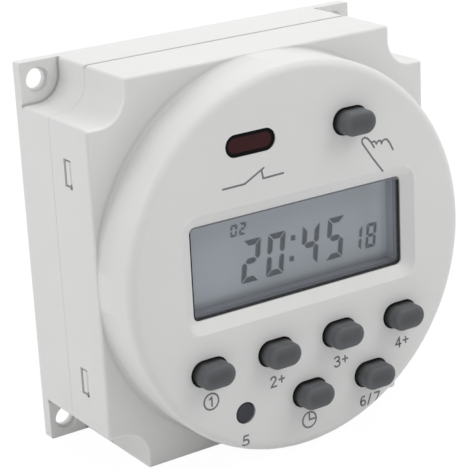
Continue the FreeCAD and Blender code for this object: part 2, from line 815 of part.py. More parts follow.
def display_cell():
    behind = "display_face"
    display_layer("lcd_polariser", behind, "cell_width", "rear_glass_height", "film_thickness")
    behind += " + film_thickness"
    display_layer("lcd_front_glass", behind, "cell_width", "cell_height", "glass_thickness")
    behind += " + glass_thickness"
    display_layer("lcd_rear_glass", behind, "cell_width", "rear_glass_height", "glass_thickness")
    display_layer("lcd_reflector", behind + " + glass_thickness", "cell_width", "rear_glass_height",
                  "film_thickness")
    height = "logic_gap - display_face - film_thickness - glass_thickness"
    for sign, label in ((1, "upper_zebra_strip"), (-1, "lower_zebra_strip")):
        z = f"window_z + {sign} * (cell_height + rear_glass_height) / 4"
        piece(label, block(label, "0", z, LOGIC_FRONT, "zebra_width", "zebra_thickness", height))


# Indicator

def indicator():
    body = new_body("indicator_lens", "-lens_x", LENS_Z, INSIDE)
    flange = front_sketch(body, "lens_flange_outline", "-lens_flange_thickness")
    draw_slot(flange, "lens_width + 2 * lens_flange", "lens_height + 2 * lens_flange")
    pad(body, flange, "lens_flange_plate", "lens_flange_thickness")
    front = front_sketch(body, "lens_outline", "0")
    draw_slot(front, "lens_width - 2 * lens_gap", "lens_height - 2 * lens_gap")
    pad(body, front, "lens_front", "front_wall - lens_recess")
    piece("indicator_lens", body)
    collar = rod("lamp_collar", "-lens_x", LENS_Z, LOGIC_FRONT, "lamp_collar_radius", "lamp_collar_height")
    stem = rod("lamp_stem", "-lens_x", LENS_Z, LOGIC_FRONT, "lamp_radius", "lamp_height")
    dome = doc.addObject("Part::Sphere", "lamp_dome")
    bind(dome, Radius="lamp_radius")
    place(dome, "-lens_x", f"-({LOGIC_FRONT} + lamp_height)", LENS_Z)
    piece("indicator_lamp", join("lamp", [collar, stem, dome]))


# Keys, contact pills and mats

PLUNGER = "logic_gap - key_flange_thickness - key_travel - pill_gap - pill_thickness"


def oblong_key(name, x, z):
    """Rubber key: rounded top, flange behind the front wall and plunger towards the board."""
    body = new_body(name + "_key", x, z, INSIDE)
    flange = front_sketch(body, name + "_flange_outline", "-key_flange_thickness")
    draw_slot(flange, "key_width + 2 * key_flange", "key_height + 2 * key_flange")
    pad(body, flange, name + "_flange", "key_flange_thickness")
    plunger = front_sketch(body, name + "_plunger_outline", f"-key_flange_thickness - ({PLUNGER})")
    draw_slot(plunger, "key_width - 2 * plunger_inset", "key_height - 2 * plunger_inset")
    pad(body, plunger, name + "_plunger", PLUNGER)
    top = front_sketch(body, name + "_top_outline", "0")
    draw_slot(top, "key_width", "key_height")
    pad(body, top, name + "_top", "front_wall + key_proud")
    height = number("front_wall") + number("key_proud")
    round_body(body, name + "_top_round", "key_round", lambda edge: at_front_of(edge, height))
    piece(name + "_key", body)


def reset_key():
    body = new_body("reset_key", *RESET_PLACE, INSIDE)
    flange = front_sketch(body, "reset_flange_outline", "-key_flange_thickness")
    draw_circle(flange, "reset_radius + reset_flange")
    pad(body, flange, "reset_flange_plate", "key_flange_thickness")
    plunger = front_sketch(body, "reset_plunger_outline", f"-key_flange_thickness - ({PLUNGER})")
    draw_circle(plunger, "reset_radius - plunger_inset / 2")
    pad(body, plunger, "reset_plunger", PLUNGER)
    top = front_sketch(body, "reset_top_outline", "0")
    draw_circle(top, "reset_radius")
    pad(body, top, "reset_top", "front_wall - reset_recess")
    height = number("front_wall") - number("reset_recess")
    round_body(body, "reset_top_round", "reset_round", lambda edge: at_front_of(edge, height))
    piece("reset_key", body)


def contact_pill(name, x, z, radius):
    depth = f"{LOGIC_FRONT} + key_travel + pill_gap"
    piece(name + "_contact_pill", rod(name + "_contact_pill", x, z, depth, radius, "pill_thickness"))


def keys():
    for name, (x, z) in key_places().items():
        oblong_key(name, x, z)
        contact_pill(name, x, z, "pill_radius")
    reset_key()
    contact_pill("reset", *RESET_PLACE, "reset_pill_radius")


def collar_and_well(name, x, z):
    """The raised collar round one oblong key's plunger, and the hole through it."""
    width = "key_width - 2 * plunger_inset + 2 * collar_gap"
    height = "key_height - 2 * plunger_inset + 2 * collar_gap"
    collar = stadium(name + "_collar", x, z, LOGIC_FRONT, f"{width} + 2 * collar_wall",
                     f"{height} + 2 * collar_wall", "collar_height")
    hole = stadium(name + "_collar_hole", x, z, LOGIC_FRONT, width, height, "collar_height")
    return collar, hole


def key_mats():
    border = "2 * mat_border + key_height"
    row_one = block("mat_row_one", "0", f"-{ROW_ONE}", LOGIC_FRONT,
                    "3 * key_pitch + key_width + 2 * mat_border", border, "mat_thickness")
    row_two = block("mat_row_two", "0", f"-({ROW_ONE} + {ROW_TWO} + ({border}) / 2) / 2", LOGIC_FRONT,
                    "2 * key_pitch + key_width + 2 * mat_border",
                    f"key_row_pitch + ({border}) / 2", "mat_thickness")
    collars = []
    holes = []
    for name, (x, z) in key_places().items():
        if name == "manual":
            continue
        collar, hole = collar_and_well(name, x, z)
        collars.append(collar)
        holes.append(hole)
    reset_hole = "reset_radius - plunger_inset / 2 + collar_gap"
    collars.append(rod("reset_collar", *RESET_PLACE, LOGIC_FRONT, f"{reset_hole} + collar_wall",
                       "collar_height"))
    holes.append(rod("reset_collar_hole", *RESET_PLACE, LOGIC_FRONT, reset_hole, "collar_height"))
    for index, (x, z) in enumerate(boss_places()[2:], start=1):
        holes.append(rod(f"mat_boss_hole_{index}", x, z, LOGIC_FRONT, "boss_radius + boss_gap",
                         "collar_height"))
    limit = rod("mat_limit", "0", "0", LOGIC_FRONT,
                f"{BORE_RADIUS} - mat_gap", "mat_thickness")
    sheet_part = overlap("mat_sheet", [join("mat_rows", [row_one, row_two]), limit])
    piece("key_mat", subtract("key_mat_solid", join("mat_raised", [sheet_part] + collars), holes))
    x, z = key_places()["manual"]
    collar, hole = collar_and_well("manual", x, z)
    base = block("manual_mat_base", x, z, LOGIC_FRONT, "key_width + mat_border", "key_height + mat_border",
                 "mat_thickness")
    piece("manual_key_mat", subtract("manual_mat_solid", join("manual_mat_raised", [base, collar]), [hole]))


# Boards

def screw(name, x, z, seat, towards_front):
    """A pan head screw whose head rests on a seat and whose shank runs away from it."""
    if towards_front:
        head_start = f"{seat} - screw_head_height"
        shank_start = seat
        drive_start = head_start
    else:
        head_start = seat
        shank_start = f"{seat} - screw_length"
        drive_start = f"{seat} + screw_head_height - screw_drive_depth"
    head = rod(name + "_head", x, z, head_start, "screw_head_radius", "screw_head_height")
    shank = rod(name + "_shank", x, z, shank_start, "screw_radius", "screw_length")
    drive = rod(name + "_drive", x, z, drive_start, "screw_drive_radius", "screw_drive_depth")
    return subtract(name, join(name + "_solid", [head, shank]), [drive])


def pin_tools(name, depth):
    return [rod(f"{name}_pin_hole_{index}", "-header_x", f"{step} * pin_pitch", depth, "pin_hole_radius",
                "board_thickness")
            for index, step in enumerate(HEADER_PINS, start=1)]


def logic_board():
    disc = rod("logic_disc", "0", "0", LOGIC_BACK,
               f"{BORE_RADIUS} - logic_board_gap", "board_thickness")
    holes = [rod(f"logic_hole_{index}", x, z, LOGIC_BACK, "screw_radius + 4 * screw_gap", "board_thickness")
             for index, (x, z) in enumerate(boss_places(), start=1)]
    piece("logic_board", subtract("logic_board_solid", disc, holes + pin_tools("logic", LOGIC_BACK)))
    screws = [screw(f"logic_screw_{index}", x, z, LOGIC_BACK, True)
              for index, (x, z) in enumerate(boss_places(), start=1)]
    piece("logic_board_screws", group("logic_screws", screws))


def controller_chip():
    """Flat chip with leads on all four sides, on the back of the logic board."""
    case_depth = f"{LOGIC_BACK} - chip_thickness"
    case = block("chip_case", "0", "chip_z", case_depth, "chip_side", "chip_side", "chip_thickness")
    leads = []
    for index, step in enumerate(("-3", "-2", "-1", "0", "1", "2", "3"), start=1):
        span = "chip_side + 2 * lead_reach"
        leads.append(block(f"chip_lead_across_{index}", "0", f"chip_z + {step} * lead_pitch",
                           f"{LOGIC_BACK} - lead_thickness", span, "lead_width", "lead_thickness"))
        leads.append(block(f"chip_lead_upright_{index}", f"{step} * lead_pitch", "chip_z",
                           f"{LOGIC_BACK} - lead_thickness", "lead_width", span, "lead_thickness"))
    piece("controller_chip", join("chip", [case] + leads))
    can = rod_upright("crystal_can", "crystal_x", "crystal_z", f"{LOGIC_BACK} - crystal_radius",
                      "crystal_radius", "crystal_length")
    foot = block("crystal_foot", "crystal_x", "crystal_z - crystal_length / 2",
                 f"{LOGIC_BACK} - crystal_radius", "crystal_radius", "crystal_radius", "crystal_radius")
    piece("clock_crystal", join("crystal", [can, foot]))


def header():
    height = f"{len(HEADER_PINS)} * pin_pitch"
    strip = block("header_block", "-header_x", "0", POWER_FRONT, "header_width", height, "board_spacing")
    holes = [rod(f"header_hole_{index}", "-header_x", f"{step} * pin_pitch", POWER_FRONT, "pin_radius",
                 "board_spacing")
             for index, step in enumerate(HEADER_PINS, start=1)]
    piece("header_strip", subtract("header_strip_solid", strip, holes))
    length = "board_spacing + 2 * board_thickness + 2 * pin_reach"
    pins = [rod(f"header_pin_{index}", "-header_x", f"{step} * pin_pitch", f"{POWER_BACK} - pin_reach",
                "pin_radius", length)
            for index, step in enumerate(HEADER_PINS, start=1)]
    piece("header_pins", group("header_pin_row", pins))


def power_board():
    plate = notched_prism("power_plate", "side_wall + power_board_gap", POWER_BACK, "board_thickness")
    holes = [rod(f"power_hole_{index}", x, z, POWER_BACK, "screw_radius + 4 * screw_gap", "board_thickness")
             for index, (x, z) in enumerate(power_boss_places(), start=1)]
    slots = [block(f"neck_slot_{index}", f"{step} * terminal_pitch", "-terminal_row", POWER_BACK,
                   "blade_thickness + 2 * blade_gap", "neck_width + 2 * blade_gap", "board_thickness")
             for index, step in enumerate(TERMINAL_STEPS, start=1)]
    tools = holes + slots + pin_tools("power", POWER_BACK)
    piece("power_board", subtract("power_board_solid", plate, tools))
    screws = [screw(f"power_screw_{index}", x, z, POWER_FRONT, False)
              for index, (x, z) in enumerate(power_boss_places(), start=1)]
    piece("power_board_screws", group("power_screws", screws))


# Terminals

def terminal_blade(label, step):
    """Flat blade that stands in the well, with shoulders on its floor and a neck to the power board."""
    x = f"{step} * terminal_pitch"
    z = "-terminal_row"
    length = "well_depth + well_floor - blade_recess"
    flat = block(label + "_flat", x, z, "blade_recess", "blade_thickness", "blade_width", length)
    tip = number("blade_recess")

    def crosses_tip(edge):
        return lies_at_depth(edge, tip) and edge.BoundBox.XLength > edge.BoundBox.ZLength

    flat = soften(label + "_tip", flat, "blade_chamfer", crosses_tip, kind="Part::Chamfer")
    shoulder = block(label + "_shoulder", x, z, "well_depth + well_floor", "blade_thickness",
                     "blade_width + 2 * blade_shoulder", "shoulder_height")
    neck = block(label + "_neck", x, z, "well_depth + well_floor", "blade_thickness", "neck_width",
                 f"{POWER_FRONT} - well_depth - well_floor + pin_reach")
    hole = rod_across(label + "_hole", x, z, "blade_recess + blade_hole_setback", "blade_hole_radius",
                      "2 * blade_thickness")
    solid = join(label + "_solid", [flat, shoulder, neck])
    piece(label, subtract(label + "_cut", solid, [hole]))


def terminals():
    labels = ("supply_line_blade", "supply_neutral_blade", "load_neutral_blade", "load_line_blade")
    for label, step in zip(labels, TERMINAL_STEPS):
        terminal_blade(label, step)


# Relay on the back of the power board

COIL_X = "-(relay_x + coil_offset)"
BASE_TOP = f"{POWER_BACK} - relay_base_thickness"
YOKE_FOOT = f"{POWER_BACK} - relay_base_thickness - yoke_thickness"
POLE = f"{POWER_BACK} - relay_base_thickness - yoke_height"


def relay_case():
    inner_width = "relay_width - 2 * relay_wall"
    inner_height = "relay_height - 2 * relay_wall"
    piece("relay_base", block("relay_base_plate", "-relay_x", "relay_z", BASE_TOP,
                              f"{inner_width} - 2 * relay_gap", f"{inner_height} - 2 * relay_gap",
                              "relay_base_thickness"))
    start = f"{POWER_BACK} - relay_depth"
    outer = block("relay_cover_outside", "-relay_x", "relay_z", start, "relay_width", "relay_height",
                  "relay_depth")
    hollow = block("relay_cover_inside", "-relay_x", "relay_z", f"{start} + relay_wall", inner_width,
                   inner_height, "relay_depth - relay_wall")
    piece("relay_cover", subtract("relay_cover_solid", outer, [hollow]))


def relay_magnet():
    core_length = "yoke_height - yoke_thickness"
    piece("relay_core", rod("relay_core_rod", COIL_X, "relay_z", POLE, "core_radius", core_length))
    bore = "core_radius + bobbin_bore_gap"
    start = f"{POLE} + bobbin_bore_gap"
    length = f"{core_length} - bobbin_bore_gap"
    tube = rod("bobbin_tube", COIL_X, "relay_z", start, f"{bore} + bobbin_wall", length)
    ends = [rod("bobbin_end_back", COIL_X, "relay_z", start, "bobbin_radius", "bobbin_flange"),
            rod("bobbin_end_front", COIL_X, "relay_z", f"{YOKE_FOOT} - bobbin_flange", "bobbin_radius",
                "bobbin_flange")]
    hole = rod("bobbin_bore", COIL_X, "relay_z", start, bore, length)
    piece("relay_bobbin", subtract("bobbin", join("bobbin_solid", [tube] + ends), [hole]))
    winding = f"{length} - 2 * bobbin_flange"
    winding_start = f"{start} + bobbin_flange"
    wound = rod("coil_outside", COIL_X, "relay_z", winding_start, "coil_radius", winding)
    within = rod("coil_inside", COIL_X, "relay_z", winding_start, f"{bore} + bobbin_wall", winding)
    piece("relay_coil", subtract("coil", wound, [within]))
    foot_width = "yoke_leg + core_radius"
    foot = block("yoke_foot", f"{COIL_X} + ({foot_width}) / 2 - core_radius", "relay_z", YOKE_FOOT,
                 foot_width, "yoke_width", "yoke_thickness")
    leg = block("yoke_leg_plate", f"{COIL_X} + yoke_leg - yoke_thickness / 2", "relay_z", POLE,
                "yoke_thickness", "yoke_width", "yoke_height")
    piece("relay_yoke", join("yoke", [foot, leg]))


def relay_armature():
    """Hinged plate over the pole, with the contact leaf on its back."""
    hinge_x = f"({COIL_X} + yoke_leg)"
    plate_depth = f"{POLE} - armature_gap - armature_thickness"
    reach = "yoke_leg + coil_radius"
    piece("relay_armature", block("armature_plate", f"{hinge_x} - ({reach}) / 2", "relay_z", plate_depth,
                                  reach, "armature_width", "armature_thickness"))
    leaf_length = "yoke_leg + contact_reach + contact_radius"
    leaf_depth = f"{plate_depth} - leaf_thickness"
    piece("relay_contact_leaf", block("contact_leaf", f"{hinge_x} - ({leaf_length}) / 2", "relay_z",
                                      leaf_depth, leaf_length, "leaf_width", "leaf_thickness"))
    contact_x = f"({COIL_X} - contact_reach)"
    piece("relay_moving_contact", rod("moving_contact", contact_x, "relay_z", plate_depth,
                                      "contact_radius", "contact_thickness"))
    fixed_start = f"{plate_depth} + contact_thickness + contact_gap"
    button = rod("fixed_button", contact_x, "relay_z", fixed_start, "contact_radius", "contact_thickness")
    post_start = f"({fixed_start} + contact_thickness)"
    bridge = block("fixed_bridge", contact_x, "relay_z", post_start, "2 * contact_radius",
                   "fixed_post_width", "fixed_post_thickness")
    post_x = f"{contact_x} - contact_radius + fixed_post_thickness / 2"
    post = block("fixed_post", post_x, "relay_z", post_start, "fixed_post_thickness", "fixed_post_width",
                 f"{BASE_TOP} - {post_start}")
    piece("relay_fixed_contact", join("fixed_contact", [button, bridge, post]))


# Small parts on the back of the power board

def leads(name, places, start, end):
    """Straight wires between two depths."""
    return [rod(f"{name}_lead_{index}", x, z, start, "leg_radius", f"({end}) - ({start})")
            for index, (x, z) in enumerate(places, start=1)]


def supply_capacitor():
    case = block("supply_cap_case", "supply_cap_x", "supply_cap_z", f"{POWER_BACK} - supply_cap_depth",
                 "supply_cap_width", "supply_cap_height", "supply_cap_depth")
    case = soften("supply_cap_soft", case, "supply_cap_round", runs_along_depth)
    piece("supply_capacitor", case)


def smoothing_capacitor():
    can = rod("smoothing_can", "smoothing_x", "smoothing_z", f"{POWER_BACK} - smoothing_depth",
              "smoothing_radius", "smoothing_depth")
    doc.recompute()
    free_end = -can.Shape.BoundBox.YMax
    can = soften("smoothing_can_soft", can, "smoothing_round", lambda edge: lies_at_depth(edge, free_end))
    piece("smoothing_capacitor", can)


def backup_battery():
    gap = "tab_thickness"
    start = f"{POWER_BACK} - 2 * tab_thickness - battery_thickness"
    cell = rod("battery_cell", "battery_x", "battery_z", start, "battery_radius", "battery_thickness")
    cell = soften("battery_soft", cell, "battery_round", lambda edge: edge.Length > 2 * edge.BoundBox.XLength)
    piece("backup_battery", cell)
    under = block("battery_tab_front", "battery_x", "battery_z", f"{POWER_BACK} - 2 * {gap}", "tab_width",
                  "2 * battery_radius", f"2 * {gap}")
    reach = "battery_radius + tab_overhang"
    over = block("battery_tab_back", "battery_x", "battery_z - tab_overhang / 2", f"{start} - {gap}",
                 "tab_width", f"2 * battery_radius + tab_overhang", gap)
    drop = block("battery_tab_drop", "battery_x", f"battery_z - ({reach}) + {gap} / 2", f"{start} - {gap}",
                 "tab_width", gap, f"battery_thickness + 3 * {gap}")
    piece("battery_tabs", group("tabs", [under, join("tab_strap", [over, drop])]))


def rectifier_diodes():
    diodes = []
    depth = f"{POWER_BACK} - diode_rise - diode_radius"
    for index, step in enumerate(("0", "1", "2", "3"), start=1):
        x = f"diode_x + {step} * diode_pitch"
        z = "-diode_z"
        case = rod_upright(f"diode_case_{index}", x, z, depth, "diode_radius", "diode_length")
        wire = rod_upright(f"diode_wire_{index}", x, z, depth, "wire_radius",
                           "diode_length + 4 * wire_radius")
        ends = [(x, f"{z} + {sign} * (diode_length / 2 + wire_radius)") for sign in (-1, 1)]
        legs = leads(f"diode_{index}", ends, depth, POWER_BACK)
        diodes.append(join(f"diode_{index}", [case, wire] + legs))
    piece("rectifier_diodes", group("diode_row", diodes))


def bleed_resistor():
    depth = f"{POWER_BACK} - diode_rise - resistor_radius"
    case = rod_across("resistor_case", "-resistor_x", "resistor_z", depth, "resistor_radius",
                      "resistor_length")
    wire = rod_across("resistor_wire", "-resistor_x", "resistor_z", depth, "wire_radius",
                      "resistor_length + 4 * wire_radius")
    ends = [(f"-resistor_x + {sign} * (resistor_length / 2 + wire_radius)", "resistor_z") for sign in (-1, 1)]
    legs = leads("resistor", ends, depth, POWER_BACK)
    piece("bleed_resistor", join("resistor", [case, wire] + legs))


def driver_transistor():
    depth = "transistor_depth"
    start = f"{POWER_BACK} - transistor_rise - {depth}"
    case = rod("transistor_round", "-transistor_x", "transistor_z", start, "transistor_radius", depth)
    flat = block("transistor_cut", "-transistor_x", "transistor_z + transistor_flat + transistor_radius / 2",
                 start, "2 * transistor_radius", "transistor_radius", depth)
    case = subtract("transistor_case", case, [flat])
    places = [(f"-transistor_x + {step} * pin_pitch / 2", "transistor_z") for step in (-1, 0, 1)]
    legs = leads("transistor", places, f"{POWER_BACK} - transistor_rise", POWER_BACK)
    piece("driver_transistor", join("transistor", [case] + legs))


def varistor():
    depth = f"{POWER_BACK} - varistor_rise - varistor_radius"
    disc = rod_upright("varistor_disc", "-varistor_x", "varistor_z", depth, "varistor_radius",
                       "varistor_thickness")
    places = [(f"-varistor_x + {sign} * varistor_radius / 2", "varistor_z") for sign in (-1, 1)]
    legs = leads("varistor", places, depth, POWER_BACK)
    piece("varistor", join("varistor_solid", [disc] + legs))


def check_and_write():
    """Stops if anything failed, and otherwise writes one file for each sub-part."""
    doc.recompute()
    failed = [item.Name for item in doc.Objects if "Invalid" in item.State or "Error" in item.State]
    if failed:
        raise RuntimeError("features that failed: " + ", ".join(failed))
    for item in nodes:
        if item.Shape.isNull() or not item.Shape.isValid():
            raise RuntimeError("bad shape: " + item.Label)
    os.makedirs("parts", exist_ok=True)
    for item in nodes:
        item.Shape.exportStep(f"parts/{item.Label}.step")
        box = item.Shape.BoundBox
        print(f"{item.Label}: {len(item.Shape.Solids)} solid(s), {item.Shape.Volume:.1f} mm3, "
              f"x {box.XMin:.2f} to {box.XMax:.2f}, y {box.YMin:.2f} to {box.YMax:.2f}, "
              f"z {box.ZMin:.2f} to {box.ZMax:.2f}")
    print(len(nodes), "sub-parts")


def build():
    fill_sheet()
    front_shell()
    rear_shell()
    clear_window()
    display_frame()
    display_cell()
    indicator()
    keys()
    key_mats()
    logic_board()
    controller_chip()
    header()
    power_board()
    terminals()
    relay_case()
    relay_magnet()
    relay_armature()
    supply_capacitor()
    smoothing_capacitor()
    backup_battery()
    rectifier_diodes()
    bleed_resistor()
    driver_transistor()
    varistor()
    check_and_write()


build()
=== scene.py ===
# %% [markdown]
# # A digital timer relay
#
# The object is a white plug-on time switch: two snapped shells, a round front disc with a small
# liquid crystal display, grey rubber keys and a dark red indicator lens. The engineering model is
# already the right shape. This notebook dresses it: it gives every piece a finish, puts the marks
# on the display and the symbols on the disc, and sets up the camera and the lights.

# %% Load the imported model
import json
import math

import bmesh
import bpy
from mathutils import Matrix, Vector


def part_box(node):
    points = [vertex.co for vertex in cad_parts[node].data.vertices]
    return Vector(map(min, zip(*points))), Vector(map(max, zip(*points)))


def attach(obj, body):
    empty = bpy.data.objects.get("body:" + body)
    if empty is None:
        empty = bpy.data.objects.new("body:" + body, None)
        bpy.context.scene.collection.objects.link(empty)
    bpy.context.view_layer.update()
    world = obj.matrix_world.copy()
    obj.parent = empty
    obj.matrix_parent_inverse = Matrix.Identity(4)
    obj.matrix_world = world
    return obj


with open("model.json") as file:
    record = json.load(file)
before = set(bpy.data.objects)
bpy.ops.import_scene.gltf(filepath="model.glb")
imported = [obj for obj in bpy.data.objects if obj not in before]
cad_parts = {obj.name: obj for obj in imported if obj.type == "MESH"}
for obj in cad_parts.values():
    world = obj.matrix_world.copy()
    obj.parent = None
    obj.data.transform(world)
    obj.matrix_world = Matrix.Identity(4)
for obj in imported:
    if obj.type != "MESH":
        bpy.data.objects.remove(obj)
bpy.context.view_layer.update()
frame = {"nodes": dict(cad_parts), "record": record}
MM = 0.001
scene = bpy.context.scene

# %% [markdown]
# ## Camera
#
# The photograph is taken from the left and a little above with a long lens. The camera could be
# placed by eye, but here the housing's own edges gave it: the square has a known size, so one
# camera fits all of its corners. Its three directions are written out as numbers. The shift is
# small and puts the object where the photograph has it.

# %% Camera
CAMERA_PLACE = (-0.144074, -0.232595, 0.088656)
CAMERA_RIGHT = Vector((0.825133, -0.563082, -0.045752))
CAMERA_UP = Vector((0.219870, 0.245481, 0.944138))
SENSOR = 36.0
FOCAL_PIXELS = 1792.99
PHOTO_SIDE = 470.0
CENTRE_PIXEL = (245.93, 244.79)


def make_camera():
    data = bpy.data.cameras.new("camera")
    data.sensor_width = SENSOR
    data.lens = FOCAL_PIXELS / PHOTO_SIDE * SENSOR
    half = PHOTO_SIDE / 2
    data.shift_x = (half - CENTRE_PIXEL[0]) / PHOTO_SIDE
    data.shift_y = (CENTRE_PIXEL[1] - half) / PHOTO_SIDE
    data.clip_start = 0.01
    data.clip_end = 20.0
    camera = bpy.data.objects.new("camera", data)
    scene.collection.objects.link(camera)
    back = CAMERA_RIGHT.cross(CAMERA_UP)
    turn = Matrix((CAMERA_RIGHT, CAMERA_UP, back)).transposed()
    camera.matrix_world = Matrix.Translation(CAMERA_PLACE) @ turn.to_4x4()
    scene.camera = camera
    return camera


camera = make_camera()
print("lens", round(camera.data.lens, 1), "mm")

# %% [markdown]
# ## Helpers for shader nodes
#
# A material in Blender is a small graph. Two short helpers keep the graphs readable: one adds a
# node and sets its inputs by name, the other joins two sockets.

# %% Shader helpers


def add(tree, kind, at=(0, 0), **settings):
    """Add a node, set its properties, and set or link its inputs from the dict called inputs."""
    inputs = settings.pop("inputs", {})
    node = tree.nodes.new(kind)
    node.location = at
    for name, value in settings.items():
        setattr(node, name, value)
    for name, value in inputs.items():
        if isinstance(value, bpy.types.NodeSocket):
            tree.links.new(value, node.inputs[name])
        else:
            node.inputs[name].default_value = value
    return node


def first_node(tree, kind):
    return next(node for node in tree.nodes if node.type == kind)


def grey(level):
    return (level, level, level, 1.0)


def from_srgb(red, green, blue):
    """The colour that the eye sees as these three values of 0 to 255."""
    def linear(value):
        value /= 255
        return value / 12.92 if value <= 0.04045 else ((value + 0.055) / 1.055) ** 2.4
    return (linear(red), linear(green), linear(blue), 1.0)


def new_group(name, numbers=(), colours=(), outputs=()):
    tree = bpy.data.node_groups.new(name, "ShaderNodeTree")
    for label, value in numbers:
        socket = tree.interface.new_socket(label, in_out="INPUT", socket_type="NodeSocketFloat")
        socket.default_value = value
    for label, value in colours:
        socket = tree.interface.new_socket(label, in_out="INPUT", socket_type="NodeSocketColor")
        socket.default_value = value
    for label, kind in outputs:
        tree.interface.new_socket(label, in_out="OUTPUT", socket_type=kind)
    return tree, add(tree, "NodeGroupInput", (-900, 0)), add(tree, "NodeGroupOutput", (700, 0))


print("middle grey is", [round(value, 3) for value in from_srgb(128, 128, 128)[:3]])

# %% [markdown]
# ## The surface of moulded plastic
#
# A moulded housing isn't a flat colour. Its mould was spark eroded, so the skin has a fine grain.
# The resin flows unevenly, so the white drifts a little, and handling leaves faint dull smears and
# specks of dust. One node group makes all of that from object coordinates, and every moulded
# piece uses it with its own values.

# %% Moulded surface group


def make_moulded_group():
    tree, given, result = new_group(
        "moulded_surface",
        numbers=(("Grain Size", 0.25), ("Grain Depth", 0.5), ("Drift", 0.03), ("Dust", 0.1),
                 ("Gloss Low", 0.35), ("Gloss High", 0.5)),
        colours=(("Colour", grey(0.8)), ("Dust Colour", grey(0.4))),
        outputs=(("Colour", "NodeSocketColor"), ("Roughness", "NodeSocketFloat"),
                 ("Height", "NodeSocketFloat")))
    place = add(tree, "ShaderNodeTexCoord", (-1300, 0)).outputs["Object"]
    scale = add(tree, "ShaderNodeMath", (-1100, 200), operation="DIVIDE",
                inputs={0: 1 / MM, 1: given.outputs["Grain Size"]})
    grain = add(tree, "ShaderNodeTexNoise", (-700, 300),
                inputs={"Vector": place, "Scale": scale.outputs[0], "Detail": 3.0,
                        "Roughness": 0.6})
    drift = add(tree, "ShaderNodeTexNoise", (-700, 0),
                inputs={"Vector": place, "Scale": 55.0, "Detail": 4.0, "Roughness": 0.5})
    smear = add(tree, "ShaderNodeTexNoise", (-700, -300),
                inputs={"Vector": place, "Scale": 140.0, "Detail": 6.0, "Roughness": 0.65,
                        "Distortion": 1.2})
    specks = add(tree, "ShaderNodeTexVoronoi", (-700, -600), feature="F1",
                 inputs={"Vector": place, "Scale": 420.0, "Randomness": 1.0})
    centred = add(tree, "ShaderNodeMapRange", (-450, 0),
                  inputs={"Value": drift.outputs[0], "From Min": 0.3, "From Max": 0.7,
                          "To Min": -1.0, "To Max": 1.0})
    shade = add(tree, "ShaderNodeMath", (-250, 0), operation="MULTIPLY_ADD",
                inputs={0: centred.outputs[0], 1: given.outputs["Drift"], 2: 1.0})
    tinted = add(tree, "ShaderNodeVectorMath", (-50, 0), operation="SCALE",
                 inputs={0: given.outputs["Colour"], "Scale": shade.outputs[0]})
    speck = add(tree, "ShaderNodeMapRange", (-450, -600),
                inputs={"Value": specks.outputs["Distance"], "From Min": 0.03, "From Max": 0.09,
                        "To Min": 1.0, "To Max": 0.0})
    patch = add(tree, "ShaderNodeMapRange", (-450, -300),
                inputs={"Value": smear.outputs[0], "From Min": 0.48, "From Max": 0.68})
    dusty = add(tree, "ShaderNodeMath", (-250, -450), operation="MULTIPLY",
                inputs={0: speck.outputs[0], 1: patch.outputs[0]})
    amount = add(tree, "ShaderNodeMath", (-50, -450), operation="MULTIPLY",
                 inputs={0: dusty.outputs[0], 1: given.outputs["Dust"]})
    colour = add(tree, "ShaderNodeMix", (250, 0), data_type="RGBA",
                 inputs={0: amount.outputs[0], 6: tinted.outputs[0],
                         7: given.outputs["Dust Colour"]})
    rough = add(tree, "ShaderNodeMapRange", (250, -300),
                inputs={"Value": smear.outputs[0], "From Min": 0.3, "From Max": 0.7,
                        "To Min": given.outputs["Gloss Low"],
                        "To Max": given.outputs["Gloss High"]})
    height = add(tree, "ShaderNodeMath", (250, 300), operation="MULTIPLY",
                 inputs={0: grain.outputs[0], 1: given.outputs["Grain Depth"]})
    tree.links.new(colour.outputs[2], result.inputs["Colour"])
    tree.links.new(rough.outputs[0], result.inputs["Roughness"])
    tree.links.new(height.outputs[0], result.inputs["Height"])
    return tree


moulded_surface = make_moulded_group()
print("group", moulded_surface.name)

# %% [markdown]
# The group puts out a colour, a roughness and a height. Each material joins them to its own
# Principled shader, so a new finish is a line of values.

# %% Moulded material


def new_material(name):
    material = bpy.data.materials.new(name)
    material.use_nodes = True
    tree = material.node_tree
    tree.nodes.clear()
    shader = add(tree, "ShaderNodeBsdfPrincipled", (300, 0))
    output = add(tree, "ShaderNodeOutputMaterial", (600, 0))
    tree.links.new(shader.outputs[0], output.inputs["Surface"])
    return material, tree, shader


def moulded(name, colour, grain=0.25, depth=0.5, drift=0.03, dust=0.1, dust_colour=grey(0.4),
            gloss=(0.35, 0.5), **sockets):
    """A moulded finish. Extra values go straight to sockets of the shader."""
    material, tree, shader = new_material(name)
    skin = add(tree, "ShaderNodeGroup", (-200, 0), node_tree=moulded_surface,
               inputs={"Grain Size": grain, "Grain Depth": depth, "Drift": drift, "Dust": dust,
                       "Gloss Low": gloss[0], "Gloss High": gloss[1], "Colour": colour,
                       "Dust Colour": dust_colour})
    bump = add(tree, "ShaderNodeBump", (60, -300),
               inputs={"Height": skin.outputs["Height"], "Strength": 0.25, "Distance": 0.02 * MM})
    tree.links.new(skin.outputs["Colour"], shader.inputs["Base Color"])
    tree.links.new(skin.outputs["Roughness"], shader.inputs["Roughness"])
    tree.links.new(bump.outputs["Normal"], shader.inputs["Normal"])
    for label, value in sockets.items():
        shader.inputs[label.replace("_", " ")].default_value = value
    return material


print("moulded finishes join", len(moulded_surface.interface.items_tree), "sockets of the group")

# %% [markdown]
# ## Masks in the model's own frame
#
# A texture painted on the surface would need an unwrapped mesh. A mask that is worked out from the
# coordinates needs none, and it stays in place when the mesh changes. These helpers do sums on
# coordinates, ease a value between two limits and let the result darken a finish.

# %% Mask helpers


